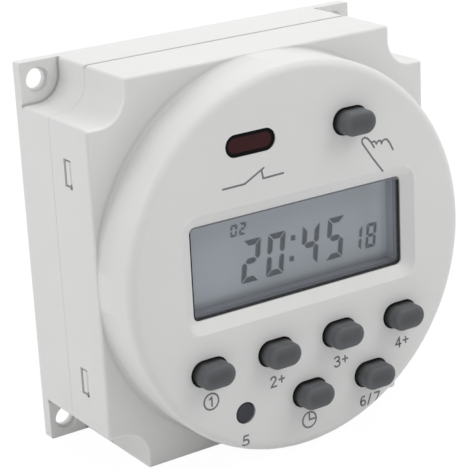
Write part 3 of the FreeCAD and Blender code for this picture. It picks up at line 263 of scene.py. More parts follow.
def smooth_range(tree, value, start, end, low, high):
    """A value that eases from low to high while another goes from start to end."""
    return add(tree, "ShaderNodeMapRange", (-600, 500), interpolation_type="SMOOTHSTEP",
               inputs={"Value": value, "From Min": start, "From Max": end, "To Min": low,
                       "To Max": high}).outputs[0]


def smooth_mm(tree, value, start, end, low, high):
    """The same, with the two limits in millimetres."""
    return smooth_range(tree, value, start * MM, end * MM, low, high)


def place_axes(tree):
    """The three coordinates of a point in the model's own frame."""
    place = add(tree, "ShaderNodeTexCoord", (-1500, 500)).outputs["Object"]
    return add(tree, "ShaderNodeSeparateXYZ", (-1300, 500), inputs={0: place}).outputs


def calc(tree, kind, first, second):
    """One step of arithmetic on two values."""
    return add(tree, "ShaderNodeMath", (-1000, 500), operation=kind,
               inputs={0: first, 1: second}).outputs[0]


def distance_of(tree, first, second):
    """How far a point is from a line that it misses by first one way and by second the other."""
    joined = add(tree, "ShaderNodeCombineXYZ", (-900, 500), inputs={"X": first, "Y": second})
    return add(tree, "ShaderNodeVectorMath", (-750, 500), operation="LENGTH",
               inputs={0: joined.outputs[0]}).outputs["Value"]


def band(tree, value, centre, half, edge):
    """One within half of a centre, easing to zero over the edge. All three in millimetres."""
    off = calc(tree, "ABSOLUTE", calc(tree, "SUBTRACT", value, centre * MM), 0.0)
    return smooth_mm(tree, off, half, half + edge, 1.0, 0.0)


def shade_skin(material, factor):
    """Let a factor darken the colour that the moulded surface puts out."""
    tree = material.node_tree
    skin = first_node(tree, "GROUP")
    shader = first_node(tree, "BSDF_PRINCIPLED")
    shaded = add(tree, "ShaderNodeVectorMath", (60, 150), operation="SCALE",
                 inputs={0: skin.outputs["Colour"], "Scale": factor})
    tree.links.new(shaded.outputs[0], shader.inputs["Base Color"])
    return material


print("masks ease from one value to another over a distance given in millimetres")

# %% [markdown]
# ## The housing's corners and openings
#
# Light hardly reaches into an inner corner, so it looks darker there, also in soft light. Masks of
# painted shade follow four forms: the foot of the disc, the corner of each notch at its ear, the
# groove between the shells, and the ends of the snap windows. In the photograph the front edge of a
# notch and the slopes of the display window are a little lighter than the rest, so they get masks
# of painted light as well.

# %% Housing finish
DISC_RADIUS = 29.9
SHOULDER_DEPTH = 20.8
# A crease of painted shade is given as its width in millimetres and the factor that it darkens by
FOOT_SHIFT = 0.35
FOOT_CREASE = (0.55, 0.85)
FOOT_SHADE = (5.5, 0.92)
FLUSH_REACH = (29.45, 29.8)
EAR_DEPTH = 2.0
EAR_CREASE = (0.55, 0.66)
NOTCH_CENTRE = 27.8
NOTCH_ROUND = 4.2
# Painted highlight on the notch's rounded front edge: where it starts and ends, and its factor
NOTCH_HIGHLIGHT_START = 0.1
NOTCH_HIGHLIGHT = (0.5, 1.19)
GROOVE_DEPTH = 10.03
GROOVE_HALF = 0.1
GROOVE_EDGE = 0.65
GROOVE_FACES = (29.3, 29.5)
GROOVE_SHADE = -0.14
# Painted shade at one end of each snap window, where its corner looks dark
SNAP_CORNERS = ((-15.3, 14.2), (-15.3, -18.0))
SNAP_SPOT = (0.25, 0.55)
SNAP_SHADE = 0.15
WINDOW_Z = 1.7
# Painted light on the slopes above and below the display window
SLOPE_ACROSS = (8.05, 0.8, 0.15)
SLOPE_ALONG = (0.0, 19.5, 1.0)
SLOPE_FRONT = (-28.2, -28.0)
SLOPE_LIGHT = 0.06


def crease(tree, distance, width, factor):
    """The factor at a line, easing to one at a distance of the width."""
    return smooth_mm(tree, distance, 0.0, width, factor, 1.0)


def foot_shade(tree, axes):
    """Painted shade in the corner between disc and square, but not where their sides are flush."""
    radius = distance_of(tree, axes["X"], axes["Z"])
    off_disc = calc(tree, "SUBTRACT", radius, (DISC_RADIUS + FOOT_SHIFT) * MM)
    off_shoulder = calc(tree, "ADD", axes["Y"], SHOULDER_DEPTH * MM)
    away = distance_of(tree, off_disc, off_shoulder)
    narrow = crease(tree, away, *FOOT_CREASE)
    wide = crease(tree, away, *FOOT_SHADE)
    reach = calc(tree, "MAXIMUM", calc(tree, "ABSOLUTE", axes["X"], 0.0),
                 calc(tree, "ABSOLUTE", axes["Z"], 0.0))
    flush = smooth_mm(tree, reach, *FLUSH_REACH, 0.0, 1.0)
    return calc(tree, "MAXIMUM", calc(tree, "MULTIPLY", narrow, wide), flush)


def inside_corner(tree, value):
    """How far a coordinate is inside the centre line of a notch, or zero beyond it."""
    size = calc(tree, "ABSOLUTE", value, 0.0)
    return calc(tree, "MINIMUM", 0.0, calc(tree, "SUBTRACT", size, NOTCH_CENTRE * MM))


def notch_shade_and_highlight(tree, axes):
    """Painted shade where a notch meets its ear, painted highlight along its rounded front edge."""
    from_centre = distance_of(tree, inside_corner(tree, axes["X"]), inside_corner(tree, axes["Z"]))
    off_wall = calc(tree, "SUBTRACT", from_centre, NOTCH_ROUND * MM)
    off_ear = distance_of(tree, off_wall, calc(tree, "ADD", axes["Y"], EAR_DEPTH * MM))
    off_front = distance_of(tree, off_wall, calc(tree, "ADD", axes["Y"], SHOULDER_DEPTH * MM))
    edge = smooth_mm(tree, off_front, NOTCH_HIGHLIGHT_START, *NOTCH_HIGHLIGHT, 1.0)
    return calc(tree, "MULTIPLY", crease(tree, off_ear, *EAR_CREASE), edge)


def groove_shade(tree, axes):
    """Painted shade along the groove between the shells; it shows only on the top and bottom."""
    upright = calc(tree, "ABSOLUTE", axes["Z"], 0.0)
    faces = smooth_mm(tree, upright, *GROOVE_FACES, 0.0, GROOVE_SHADE)
    groove = band(tree, axes["Y"], -GROOVE_DEPTH, GROOVE_HALF, GROOVE_EDGE)
    return calc(tree, "ADD", calc(tree, "MULTIPLY", groove, faces), 1.0)


def slope_light(tree, axes):
    """Painted light on the slopes above and below the display window."""
    off_window = calc(tree, "SUBTRACT", axes["Z"], WINDOW_Z * MM)
    across = band(tree, calc(tree, "ABSOLUTE", off_window, 0.0), *SLOPE_ACROSS)
    slope = calc(tree, "MULTIPLY", across, band(tree, axes["X"], *SLOPE_ALONG))
    front = smooth_mm(tree, axes["Y"], *SLOPE_FRONT, SLOPE_LIGHT, 0.0)
    return calc(tree, "ADD", calc(tree, "MULTIPLY", slope, front), 1.0)


def opening_shade_and_light(tree, axes):
    """Painted shade in the groove and at one end of each snap window, painted light on the slopes.
    """
    shade = groove_shade(tree, axes)
    for depth, height in SNAP_CORNERS:
        off = distance_of(tree, calc(tree, "SUBTRACT", axes["Y"], depth * MM),
                          calc(tree, "SUBTRACT", axes["Z"], height * MM))
        shade = calc(tree, "MULTIPLY", shade, smooth_mm(tree, off, *SNAP_SPOT, SNAP_SHADE, 1.0))
    return calc(tree, "MULTIPLY", shade, slope_light(tree, axes))


def housing_finish():
    """White resin with painted shade in its inner corners and openings, and painted highlights."""
    material = moulded("white_housing", from_srgb(233, 233, 232), drift=0.012, dust=0.12,
                       dust_colour=from_srgb(170, 168, 162), gloss=(0.36, 0.48))
    tree = material.node_tree
    axes = place_axes(tree)
    shade = calc(tree, "MULTIPLY", foot_shade(tree, axes), notch_shade_and_highlight(tree, axes))
    return shade_skin(material, calc(tree, "MULTIPLY", shade, opening_shade_and_light(tree, axes)))


housing = housing_finish()
print(housing.name, "has", len(housing.node_tree.nodes), "nodes")

# %% [markdown]
# ## Rubber keys
#
# A rubber key gets painted shade low down in its hole, and painted shade in the middle of its
# crown with a painted highlight at its edge. Each key gets its own material, because the crown is
# measured from that key's centre.

# %% Key finish
KEY_COLOUR = from_srgb(85, 88, 91)
# Painted shade towards the hole eases in between these two depths
KEY_DARK_DEPTH = 29.8
KEY_LIGHT_DEPTH = 31.3
KEY_WALL_SHADE = 0.05
KEY_STRAIGHT = 1.1
# Painted shade in the middle of the crown and a painted highlight at its edge: span and factors
KEY_SHADE_SPAN = (0.2, 1.8)
KEY_CROWN_SHADE = (0.72, 1.16)


def key_finish(name, x, z):
    """Grey rubber, painted shade towards its hole and mid crown, painted highlight at its edge."""
    material = moulded(name, KEY_COLOUR, grain=0.18, depth=1.0, drift=0.05, dust=0.35,
                       dust_colour=from_srgb(150, 150, 148), gloss=(0.45, 0.65))
    tree = material.node_tree
    axes = place_axes(tree)
    wall = smooth_mm(tree, axes["Y"], -KEY_LIGHT_DEPTH, -KEY_DARK_DEPTH, 1.0, KEY_WALL_SHADE)
    across = calc(tree, "ABSOLUTE", calc(tree, "SUBTRACT", axes["X"], x), 0.0)
    past = calc(tree, "MAXIMUM", 0.0, calc(tree, "SUBTRACT", across, KEY_STRAIGHT * MM))
    off = distance_of(tree, past, calc(tree, "SUBTRACT", axes["Z"], z))
    crown_shade = smooth_mm(tree, off, *KEY_SHADE_SPAN, *KEY_CROWN_SHADE)
    return shade_skin(material, calc(tree, "MULTIPLY", wall, crown_shade))


print("a key's crown goes from", KEY_CROWN_SHADE[0], "in its middle to", KEY_CROWN_SHADE[1], "at its edge")

# %% [markdown]
# ## The other moulded pieces
#
# The hidden pieces need no masks. Each is one line of values for the shared group, with the colour
# that such a piece has: blue for the relay's case, yellow for the supply capacitor, black for the
# chip and the diodes.

# %% Moulded finishes
# Each has its name, its colour and the limits of its roughness
PLAIN_FINISHES = (
    ("mat_rubber", (150, 152, 152), (0.6, 0.8)),
    ("conductive_rubber", (196, 130, 132), (0.6, 0.8)),
    ("carbon_pill", (24, 24, 25), (0.6, 0.8)),
    ("black_resin", (32, 32, 33), (0.4, 0.6)),
    ("relay_case", (28, 70, 150), (0.3, 0.45)),
    ("bobbin_resin", (222, 218, 204), (0.4, 0.55)),
    ("yellow_resin", (206, 160, 40), (0.2, 0.35)),
    ("capacitor_can", (24, 28, 44), (0.25, 0.4)),
    ("resistor_body", (186, 160, 118), (0.35, 0.5)),
    ("blue_resin", (30, 84, 170), (0.2, 0.35)),
    ("lamp_resin", (170, 22, 26), (0.08, 0.15)),
)
FINISHES = {"housing": housing}
for name, colour, gloss in PLAIN_FINISHES:
    FINISHES[name] = moulded(name, from_srgb(*colour), gloss=gloss)
print(len(FINISHES), "moulded finishes")

# %% [markdown]
# ## Metal, board and glass
#
# Plated and drawn metal has fine streaks along its length and small dull patches. A board is a
# green solder mask over copper. The display is glass with a grey film on it and a dull reflector
# behind. Each has its own small graph.

# %% Metal finishes


def make_streak_group():
    tree, given, result = new_group(
        "drawn_metal", numbers=(("Streak Size", 0.1), ("Low", 0.2), ("High", 0.4)),
        outputs=(("Roughness", "NodeSocketFloat"), ("Height", "NodeSocketFloat"),
                 ("Tarnish", "NodeSocketFloat")))
    place = add(tree, "ShaderNodeTexCoord", (-1300, 0)).outputs["Object"]
    stretched = add(tree, "ShaderNodeMapping", (-1100, 0),
                    inputs={"Vector": place, "Scale": (1, 0.08, 1)})
    scale = add(tree, "ShaderNodeMath", (-1100, 200), operation="DIVIDE",
                inputs={0: 1 / MM, 1: given.outputs["Streak Size"]})
    streaks = add(tree, "ShaderNodeTexNoise", (-700, 200),
                  inputs={"Vector": stretched.outputs[0], "Scale": scale.outputs[0], "Detail": 2.0})
    patches = add(tree, "ShaderNodeTexNoise", (-700, -200),
                  inputs={"Vector": place, "Scale": 300.0, "Detail": 4.0})
    rough = add(tree, "ShaderNodeMapRange", (-300, 100),
                inputs={"Value": patches.outputs[0], "From Min": 0.3, "From Max": 0.7,
                        "To Min": given.outputs["Low"], "To Max": given.outputs["High"]})
    tarnish = add(tree, "ShaderNodeMapRange", (-300, -200),
                  inputs={"Value": patches.outputs[0], "From Min": 0.5, "From Max": 0.8})
    tree.links.new(rough.outputs[0], result.inputs["Roughness"])
    tree.links.new(streaks.outputs[0], result.inputs["Height"])
    tree.links.new(tarnish.outputs[0], result.inputs["Tarnish"])
    return tree


drawn_metal = make_streak_group()


def metal(name, colour, tarnished, rough):
    material, tree, shader = new_material(name)
    skin = add(tree, "ShaderNodeGroup", (-400, 0), node_tree=drawn_metal,
               inputs={"Low": rough[0], "High": rough[1]})
    mixed = add(tree, "ShaderNodeMix", (-100, 150), data_type="RGBA",
                inputs={0: skin.outputs["Tarnish"], 6: colour, 7: tarnished})
    bump = add(tree, "ShaderNodeBump", (60, -300),
               inputs={"Height": skin.outputs["Height"], "Strength": 0.3, "Distance": 0.01 * MM})
    tree.links.new(mixed.outputs[2], shader.inputs["Base Color"])
    tree.links.new(skin.outputs["Roughness"], shader.inputs["Roughness"])
    tree.links.new(bump.outputs["Normal"], shader.inputs["Normal"])
    shader.inputs["Metallic"].default_value = 1.0
    return material


# Each has its slot, its name, its clean and tarnished colours and the limits of its roughness
METALS = (
    ("brass", "tinned_brass", (206, 196, 170), (176, 152, 104), (0.2, 0.4)),
    ("plain_steel", "plated_steel", (196, 197, 200), (160, 160, 162), (0.2, 0.4)),
    ("screw_steel", "screw_steel", (188, 189, 192), (140, 141, 146), (0.25, 0.45)),
    ("battery_case", "battery_case", (200, 201, 204), (168, 168, 170), (0.2, 0.4)),
    ("copper_wire", "copper_wire", (196, 112, 70), (150, 78, 46), (0.3, 0.45)),
    ("contact_metal", "contact_metal", (214, 214, 212), (180, 178, 172), (0.2, 0.4)),
    ("reflector", "reflector_film", (180, 184, 182), (168, 172, 170), (0.4, 0.5)),
)
for slot, name, clean, tarnished, rough in METALS:
    FINISHES[slot] = metal(name, from_srgb(*clean), from_srgb(*tarnished), rough)
print(len(FINISHES), "finishes so far")

# %% [markdown]
# ## Board and clear pieces
#
# The board's mask lies over a fine weave and shows its tracks as lighter lines. Clear plastic is a
# mix of two shaders: light goes straight through, and a small share comes back from the flat front
# as from a mirror. That share grows when the front is seen at a slant. Only the outer side of the
# front may mirror. Seen from inside, the same rule would send almost everything back.

# %% Board and clear finishes


def board_finish():
    """Green mask over a weave of glass, with faint lighter tracks."""
    material, tree, shader = new_material("board_mask")
    place = add(tree, "ShaderNodeTexCoord", (-1100, 0)).outputs["Object"]
    weave = add(tree, "ShaderNodeTexWave", (-800, -200), bands_direction="X",
                inputs={"Vector": place, "Scale": 500.0, "Distortion": 1.0})
    tracks = add(tree, "ShaderNodeTexBrick", (-800, 100),
                 inputs={"Vector": place, "Scale": 110.0, "Mortar Size": 0.06,
                         "Color1": grey(0.0), "Color2": grey(0.1), "Mortar": grey(1.0)})
    mixed = add(tree, "ShaderNodeMix", (-300, 100), data_type="RGBA",
                inputs={0: tracks.outputs["Fac"], 6: from_srgb(22, 84, 44),
                        7: from_srgb(44, 120, 66)})
    bump = add(tree, "ShaderNodeBump", (0, -300),
               inputs={"Height": weave.outputs[0], "Strength": 0.2, "Distance": 0.01 * MM})
    tree.links.new(mixed.outputs[2], shader.inputs["Base Color"])
    tree.links.new(bump.outputs["Normal"], shader.inputs["Normal"])
    shader.inputs["Roughness"].default_value = 0.35
    return material


CLEAR_INDEX = 1.49
CLEAR_FRONT = (-0.98, -0.9)


def see_through(name, tint, mirror):
    """Clear plastic or glass whose flat front mirrors a given share of what such a front does."""
    material = bpy.data.materials.new(name)
    material.use_nodes = True
    tree = material.node_tree
    tree.nodes.clear()
    place = add(tree, "ShaderNodeTexCoord", (-1100, 0)).outputs["Object"]
    haze = add(tree, "ShaderNodeTexNoise", (-800, 0),
               inputs={"Vector": place, "Scale": 90.0, "Detail": 5.0})
    rough = add(tree, "ShaderNodeMapRange", (-500, -150),
                inputs={"Value": haze.outputs[0], "From Min": 0.3, "From Max": 0.7,
                        "To Min": 0.04, "To Max": 0.12})
    shift = add(tree, "ShaderNodeMapRange", (-500, 150),
                inputs={"Value": haze.outputs[0], "From Min": 0.3, "From Max": 0.7,
                        "To Min": 0.98, "To Max": 1.0})
    tone = add(tree, "ShaderNodeVectorMath", (-250, 150), operation="SCALE",
               inputs={0: tint[:3], "Scale": shift.outputs[0]})
    through = add(tree, "ShaderNodeBsdfTransparent", (0, 100), inputs={"Color": tone.outputs[0]})
    back = add(tree, "ShaderNodeBsdfGlossy", (0, -100), inputs={"Roughness": rough.outputs[0]})
    angle = add(tree, "ShaderNodeFresnel", (-250, 400), inputs={"IOR": CLEAR_INDEX})
    way = add(tree, "ShaderNodeTexCoord", (-700, 600)).outputs["Normal"]
    facing = add(tree, "ShaderNodeSeparateXYZ", (-500, 600), inputs={0: way}).outputs["Y"]
    flat = smooth_range(tree, facing, *CLEAR_FRONT, mirror, 0.0)
    inner = add(tree, "ShaderNodeNewGeometry", (-700, 800)).outputs["Backfacing"]
    outer = calc(tree, "MULTIPLY", flat, calc(tree, "SUBTRACT", 1.0, inner))
    mixed = add(tree, "ShaderNodeMixShader", (250, 100),
                inputs={0: calc(tree, "MULTIPLY", angle.outputs[0], outer), 1: through.outputs[0],
                        2: back.outputs[0]})
    output = add(tree, "ShaderNodeOutputMaterial", (500, 0))
    tree.links.new(mixed.outputs[0], output.inputs["Surface"])
    return material


print("clear pieces mirror like a material of index", CLEAR_INDEX)

# %% [markdown]
# ## Lens, frame and film
#
# The lens is dark red, and painted shade makes it almost black at its rim. The display's frame is
# black in front, and in the photograph its inner walls look as grey as the film beside them, the
# bottom wall a little darker than the side ones: that grey is a painted reflection of the film and
# the darker bottom is painted shade. The film is lit through the window. Its masks are painted
# light that evens out the light the walls take away at its edges, and painted shade along its lower
# edge.

# %% Lens, frame and film finishes
LENS_CENTRE = (-8.65, 19.6)
LENS_STRAIGHT = 2.6
# Painted shade towards the rim of the lens
LENS_RIM_SHADE = (0.9, 1.5)


def lens_finish():
    """Dark red plastic with painted shade that goes almost black near its rounded edge."""
    material, tree, shader = new_material("red_lens")
    axes = place_axes(tree)
    across = calc(tree, "ABSOLUTE", calc(tree, "SUBTRACT", axes["X"], LENS_CENTRE[0] * MM), 0.0)
    past = calc(tree, "MAXIMUM", 0.0, calc(tree, "SUBTRACT", across, LENS_STRAIGHT * MM))
    upright = calc(tree, "SUBTRACT", axes["Z"], LENS_CENTRE[1] * MM)
    edge = smooth_mm(tree, distance_of(tree, past, upright), *LENS_RIM_SHADE, 0.0, 1.0)
    place = add(tree, "ShaderNodeTexCoord", (-1000, -400)).outputs["Object"]
    cloud = add(tree, "ShaderNodeTexNoise", (-800, -400),
                inputs={"Vector": place, "Scale": 500.0, "Detail": 3.0, "Distortion": 0.6})
    middle = add(tree, "ShaderNodeMix", (-200, -200), data_type="RGBA",
                 inputs={0: cloud.outputs[0], 6: from_srgb(42, 5, 9), 7: from_srgb(62, 12, 16)})
    mixed = add(tree, "ShaderNodeMix", (50, 0), data_type="RGBA",
                inputs={0: edge, 6: middle.outputs[2], 7: from_srgb(10, 5, 6)})
    rough = add(tree, "ShaderNodeMapRange", (50, -300),
                inputs={"Value": cloud.outputs[0], "To Min": 0.15, "To Max": 0.3})
    tree.links.new(mixed.outputs[2], shader.inputs["Base Color"])
    tree.links.new(rough.outputs[0], shader.inputs["Roughness"])
    shader.inputs["Specular IOR Level"].default_value = 0.18
    return material


FRAME_DEEP = 27.3
FRAME_SHALLOW = 28.2
FRAME_TOP = (8.0, 8.3)
# Painted shade on faces that turn to the front and on faces that turn upwards
FRAME_FACING = (-0.9, -0.5, 0.5, 1.0)
FRAME_UPWARD = (0.3, 0.8, 1.0, 0.64)
FRAME_BLACK = from_srgb(24, 25, 28)
# Painted reflection of the film on the inner walls; the top edge takes the same pale colour
FRAME_PALE = from_srgb(172, 174, 181)


def frame_finish():
    """Black in front, with a painted reflection of the film deep inside and paler along its top
    edge, as in the photograph. Faces that turn to the front or upwards get painted shade.
    """
    material = moulded("dark_frame", FRAME_BLACK, depth=0.8, gloss=(0.5, 0.65))
    tree = material.node_tree
    axes = place_axes(tree)
    deep = smooth_mm(tree, axes["Y"], -FRAME_SHALLOW, -FRAME_DEEP, 0.0, 1.0)
    top = smooth_mm(tree, axes["Z"], *FRAME_TOP, 0.0, 1.0)
    mixed = add(tree, "ShaderNodeMix", (-450, 200), data_type="RGBA",
                inputs={0: calc(tree, "MAXIMUM", deep, top), 6: FRAME_BLACK, 7: FRAME_PALE})
    tree.links.new(mixed.outputs[2], first_node(tree, "GROUP").inputs["Colour"])
    way = add(tree, "ShaderNodeTexCoord", (-1500, 800)).outputs["Normal"]
    facing = add(tree, "ShaderNodeSeparateXYZ", (-1300, 800), inputs={0: way}).outputs
    front = smooth_range(tree, facing["Y"], *FRAME_FACING)
    upward = smooth_range(tree, facing["Z"], *FRAME_UPWARD)
    return shade_skin(material, calc(tree, "MULTIPLY", front, upward))


# Each mask of the film has two limits in millimetres and the factor at each. FILM_LOW is painted
# shade along the lower edge, and the others are painted light that makes up for the light that the
# walls take away.
FILM_RIGHT = (14.5, 17.5, 1.0, 1.3)
FILM_LOW = (-4.9, -3.5, 0.7, 1.0)
FILM_HIGH = (5.0, 8.0, 1.0, 1.12)
FILM_FALL = (-18.0, 9.0, 1.1, 0.98)


def film_finish():
    """The grey film over its dull reflector, with painted light towards its edges and painted shade
    along its lower edge.
    """
    material, tree, shader = new_material("display_film")
    place = add(tree, "ShaderNodeTexCoord", (-1100, 0)).outputs["Object"]
    cloud = add(tree, "ShaderNodeTexNoise", (-800, 0),
                inputs={"Vector": place, "Scale": 60.0, "Detail": 2.0})
    sparkle = add(tree, "ShaderNodeTexNoise", (-800, -300),
                  inputs={"Vector": place, "Scale": 6000.0, "Detail": 1.0})
    mixed = add(tree, "ShaderNodeMix", (-300, 100), data_type="RGBA",
                inputs={0: cloud.outputs[0], 6: from_srgb(169, 173, 177),
                        7: from_srgb(177, 181, 185)})
    axes = place_axes(tree)
    edges = calc(tree, "MULTIPLY", smooth_mm(tree, axes["X"], *FILM_RIGHT),
                 smooth_mm(tree, axes["Z"], *FILM_LOW))
    rest = calc(tree, "MULTIPLY", smooth_mm(tree, axes["Z"], *FILM_HIGH),
                smooth_mm(tree, axes["X"], *FILM_FALL))
    tone = add(tree, "ShaderNodeVectorMath", (-100, 200), operation="SCALE",
               inputs={0: mixed.outputs[2], "Scale": calc(tree, "MULTIPLY", edges, rest)})
    bump = add(tree, "ShaderNodeBump", (0, -300),
               inputs={"Height": sparkle.outputs[0], "Strength": 0.3, "Distance": 0.01 * MM})
    rough = add(tree, "ShaderNodeMapRange", (-300, -100),
                inputs={"Value": sparkle.outputs[0], "To Min": 0.35, "To Max": 0.5})
    tree.links.new(tone.outputs[0], shader.inputs["Base Color"])
    tree.links.new(rough.outputs[0], shader.inputs["Roughness"])
    tree.links.new(bump.outputs["Normal"], shader.inputs["Normal"])
    return material


FINISHES.update({
    "board": board_finish(),
    "clear_window": see_through("clear_window", (0.97, 0.98, 0.99, 1), 0.5),
    "display_glass": see_through("display_glass", (0.9, 0.95, 0.93, 1), 1.0),
    "dark_frame": frame_finish(),
    "polariser": film_finish(),
    "red_lens": lens_finish(),
})
print(len(FINISHES), "finishes")

# %% [markdown]
# ## Dress the engineering pieces
#
# Each node of the model carries the name of its finish in the record. Its edges are still razor
# sharp, and real mouldings never are, because a sharp edge can't be milled into a mould. Three
# modifiers see to that without touching the mesh itself: weld the corners, melt flat triangles
# together, and put a narrow bevel on each sharp edge.

# %% Finish and soften the nodes
BEVEL_WIDTH = {"housing": 0.06, "key_rubber": 0.06, "dark_frame": 0.04, "brass": 0.06}
FINE_BEVEL = 0.03
SHARP_ANGLE = math.radians(32)
FLAT_ANGLE = math.radians(0.3)


def soften_edges(piece, width):
    mesh = piece.data
    mesh.shade_smooth()
    if "custom_normal" in mesh.attributes:
        mesh.attributes.remove(mesh.attributes["custom_normal"])
    weld = piece.modifiers.new("weld", "WELD")
    weld.merge_threshold = 0.0005 * MM
    melt = piece.modifiers.new("melt", "DECIMATE")
    melt.decimate_type = "DISSOLVE"
    melt.angle_limit = FLAT_ANGLE
    bevel = piece.modifiers.new("bevel", "BEVEL")
    bevel.width = width * MM
    bevel.segments = 2
    bevel.limit_method = "ANGLE"
    bevel.angle_limit = SHARP_ANGLE
    bevel.harden_normals = True
    bevel.use_clamp_overlap = True


slot_of = {entry["node"]: entry["material_slot"] for entry in frame["record"]["subparts"]}
# The darker rubber of the reset key is painted shade of the recess that it sits in
shaded_reset_rubber = moulded("shaded_reset_rubber", from_srgb(40, 42, 49), grain=0.18, depth=1.0, drift=0.05,
                       dust=0.2, dust_colour=from_srgb(110, 110, 110), gloss=(0.5, 0.7))
for name, piece in frame["nodes"].items():
    finish = slot_of[name]
    if name == "reset_key":
        material = shaded_reset_rubber
    elif finish == "key_rubber":
        low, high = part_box(name)
        material = key_finish(f"{name}_rubber", (low[0] + high[0]) / 2, (low[2] + high[2]) / 2)
    else:
        material = FINISHES[finish]
    piece.data.materials.clear()
    piece.data.materials.append(material)
    soften_edges(piece, BEVEL_WIDTH.get(finish, FINE_BEVEL))
print("dressed", len(frame["nodes"]), "nodes")

# %% [markdown]
# ## Marks on the display
#
# A display of this kind draws its numbers with seven bars each. The bars are slanted a little and
# cut at an angle where two of them meet, which leaves a fine gap. Each bar here is a thin flat
# plate just in front of the polariser. A second, fainter copy lies a little to the side: it is a
# painted shadow, in place of the shadow that the bars cast on the reflector, and it is why such
# digits look soft.

# %% Flat marks
DISPLAY_DEPTH = 25.62
SHADOW_DEPTH = 25.61


def on_housing(name, mesh, material):
    """Make an object of a mesh and let it ride with the housing."""
    mesh.materials.append(material)
    piece = bpy.data.objects.new(name, mesh)
    scene.collection.objects.link(piece)
    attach(piece, "housing")
    return piece


def flat_piece(name, outlines, depth, material):
    """One piece of flat plates that face the front. Each plate is a list of (x, z) in millimetres
    and its height over the skin that carries it. A function gives that skin's depth at a point."""
    mesh = bpy.data.meshes.new(name)
    points = []
    faces = []
    for outline, height in outlines:
        area = sum(a[0] * b[1] - b[0] * a[1] for a, b in zip(outline, outline[1:] + outline[:1]))
        ordered = outline if area > 0 else outline[::-1]
        faces.append(tuple(range(len(points), len(points) + len(ordered))))
        points += [(x * MM, -(depth(x, z) + height) * MM, z * MM) for x, z in ordered]
    mesh.from_pydata(points, [], faces)
    return on_housing(name, mesh, material)


SEGMENTS = {"0": "abcdef", "1": "bc", "2": "abged", "4": "fgbc", "5": "afgcd", "8": "abcdefg"}


SEGMENT_GAP = 0.14


def segment_outlines(digit, corner, width, height, thick):
    """The bars of one digit whose lower left corner is given."""
    middle = height / 2
    gap = thick * SEGMENT_GAP
    half = thick / 2
    shapes = {
        "a": [(gap, height), (width - gap, height), (width - thick - gap, height - thick),
              (thick + gap, height - thick)],
        "g": [(half + gap, middle), (thick + gap, middle + half),
              (width - thick - gap, middle + half), (width - half - gap, middle),
              (width - thick - gap, middle - half), (thick + gap, middle - half)],
        "f": [(0, height - gap), (thick, height - thick - gap), (thick, middle + half + gap),
              (half, middle + gap), (0, middle + half)],
    }
    shapes["d"] = [(x, height - z) for x, z in shapes["a"]]
    shapes["e"] = [(x, height - z) for x, z in shapes["f"]]
    shapes["b"] = [(width - x, z) for x, z in shapes["f"]]
    shapes["c"] = [(width - x, z) for x, z in shapes["e"]]
    return [[(corner[0] + x + DIGIT_SLANT * z, corner[1] + z) for x, z in shapes[letter]]
            for letter in SEGMENTS[digit]]


DIGIT_SLANT = 0.12
# Each row has its digits with the left edge of each, the height of its foot, and the width,
# height and thickness of a digit
DIGIT_ROWS = {
    "hour_and_minute": ((("2", -8.8), ("0", -4.35), ("4", 1.95), ("5", 6.65)), -2.85,
                        (3.15, 6.55, 0.9)),
    "seconds": ((("1", 11.5), ("8", 14.25)), -2.65, (1.95, 3.9, 0.55)),
    "day_number": ((("0", -10.3), ("2", -8.75)), 4.75, (1.15, 1.85, 0.34)),
}
COLON = ((0.85, 2.2), (0.45, -1.0))
COLON_HALF = 0.42
SHADOW_SHIFT = (0.2, -0.14)

display_mark = moulded("display_mark", from_srgb(66, 72, 80), grain=0.1, drift=0.05,
                       gloss=(0.4, 0.5), Alpha=0.42)
display_shade = moulded("display_shade", from_srgb(70, 76, 84), grain=0.1, drift=0.05,
                        gloss=(0.4, 0.5), Alpha=0.1)


def colon_outlines():
    corners = ((-1, -1), (1, -1), (1, 1), (-1, 1))
    return [[(x + right * COLON_HALF, z + up * COLON_HALF) for right, up in corners]
            for x, z in COLON]


def display_outlines():
    groups = {}
    for label, (digits, foot, size) in DIGIT_ROWS.items():
        groups[label] = [bar for digit, x in digits
                         for bar in segment_outlines(digit, (x, foot), *size)]
    groups["hour_and_minute"] += colon_outlines()
    return groups


for label, outlines in display_outlines().items():
    flat_piece(f"display_{label}", [(outline, 0.0) for outline in outlines],
               lambda x, z: DISPLAY_DEPTH, display_mark)
    # The shifted copy is the painted shadow of the bars
    moved = [([(x + SHADOW_SHIFT[0], z + SHADOW_SHIFT[1]) for x, z in outline], 0.0)
             for outline in outlines]
    flat_piece(f"display_{label}_shade", moved, lambda x, z: SHADOW_DEPTH, display_shade)
print("display marks:", sum(len(outlines) for outlines in display_outlines().values()), "bars")

# %% [markdown]
# ## Painted shade round the lens
#
# A thin black ring of painted shade lies round the red lens and gives it the dark outline of the
# gap between lens and hole. It is a flat ring that follows two straight sides and two half circles,
# a hair above the lens.

# %% Painted shade round the lens
GAP_SHADE_OUTER = 1.72
GAP_SHADE_INNER = 1.12
LENS_DEPTH = 29.52


def around_lens(offset, steps=12):
    """Points all round the lens at a distance from its middle line."""
    turns = [math.pi * (step / steps - 0.5) for step in range(steps + 1)]
    right = [(LENS_STRAIGHT + offset * math.cos(turn), offset * math.sin(turn)) for turn in turns]
    points = right + [(-x, -z) for x, z in right]
    return [(LENS_CENTRE[0] + x, LENS_CENTRE[1] + z) for x, z in points]


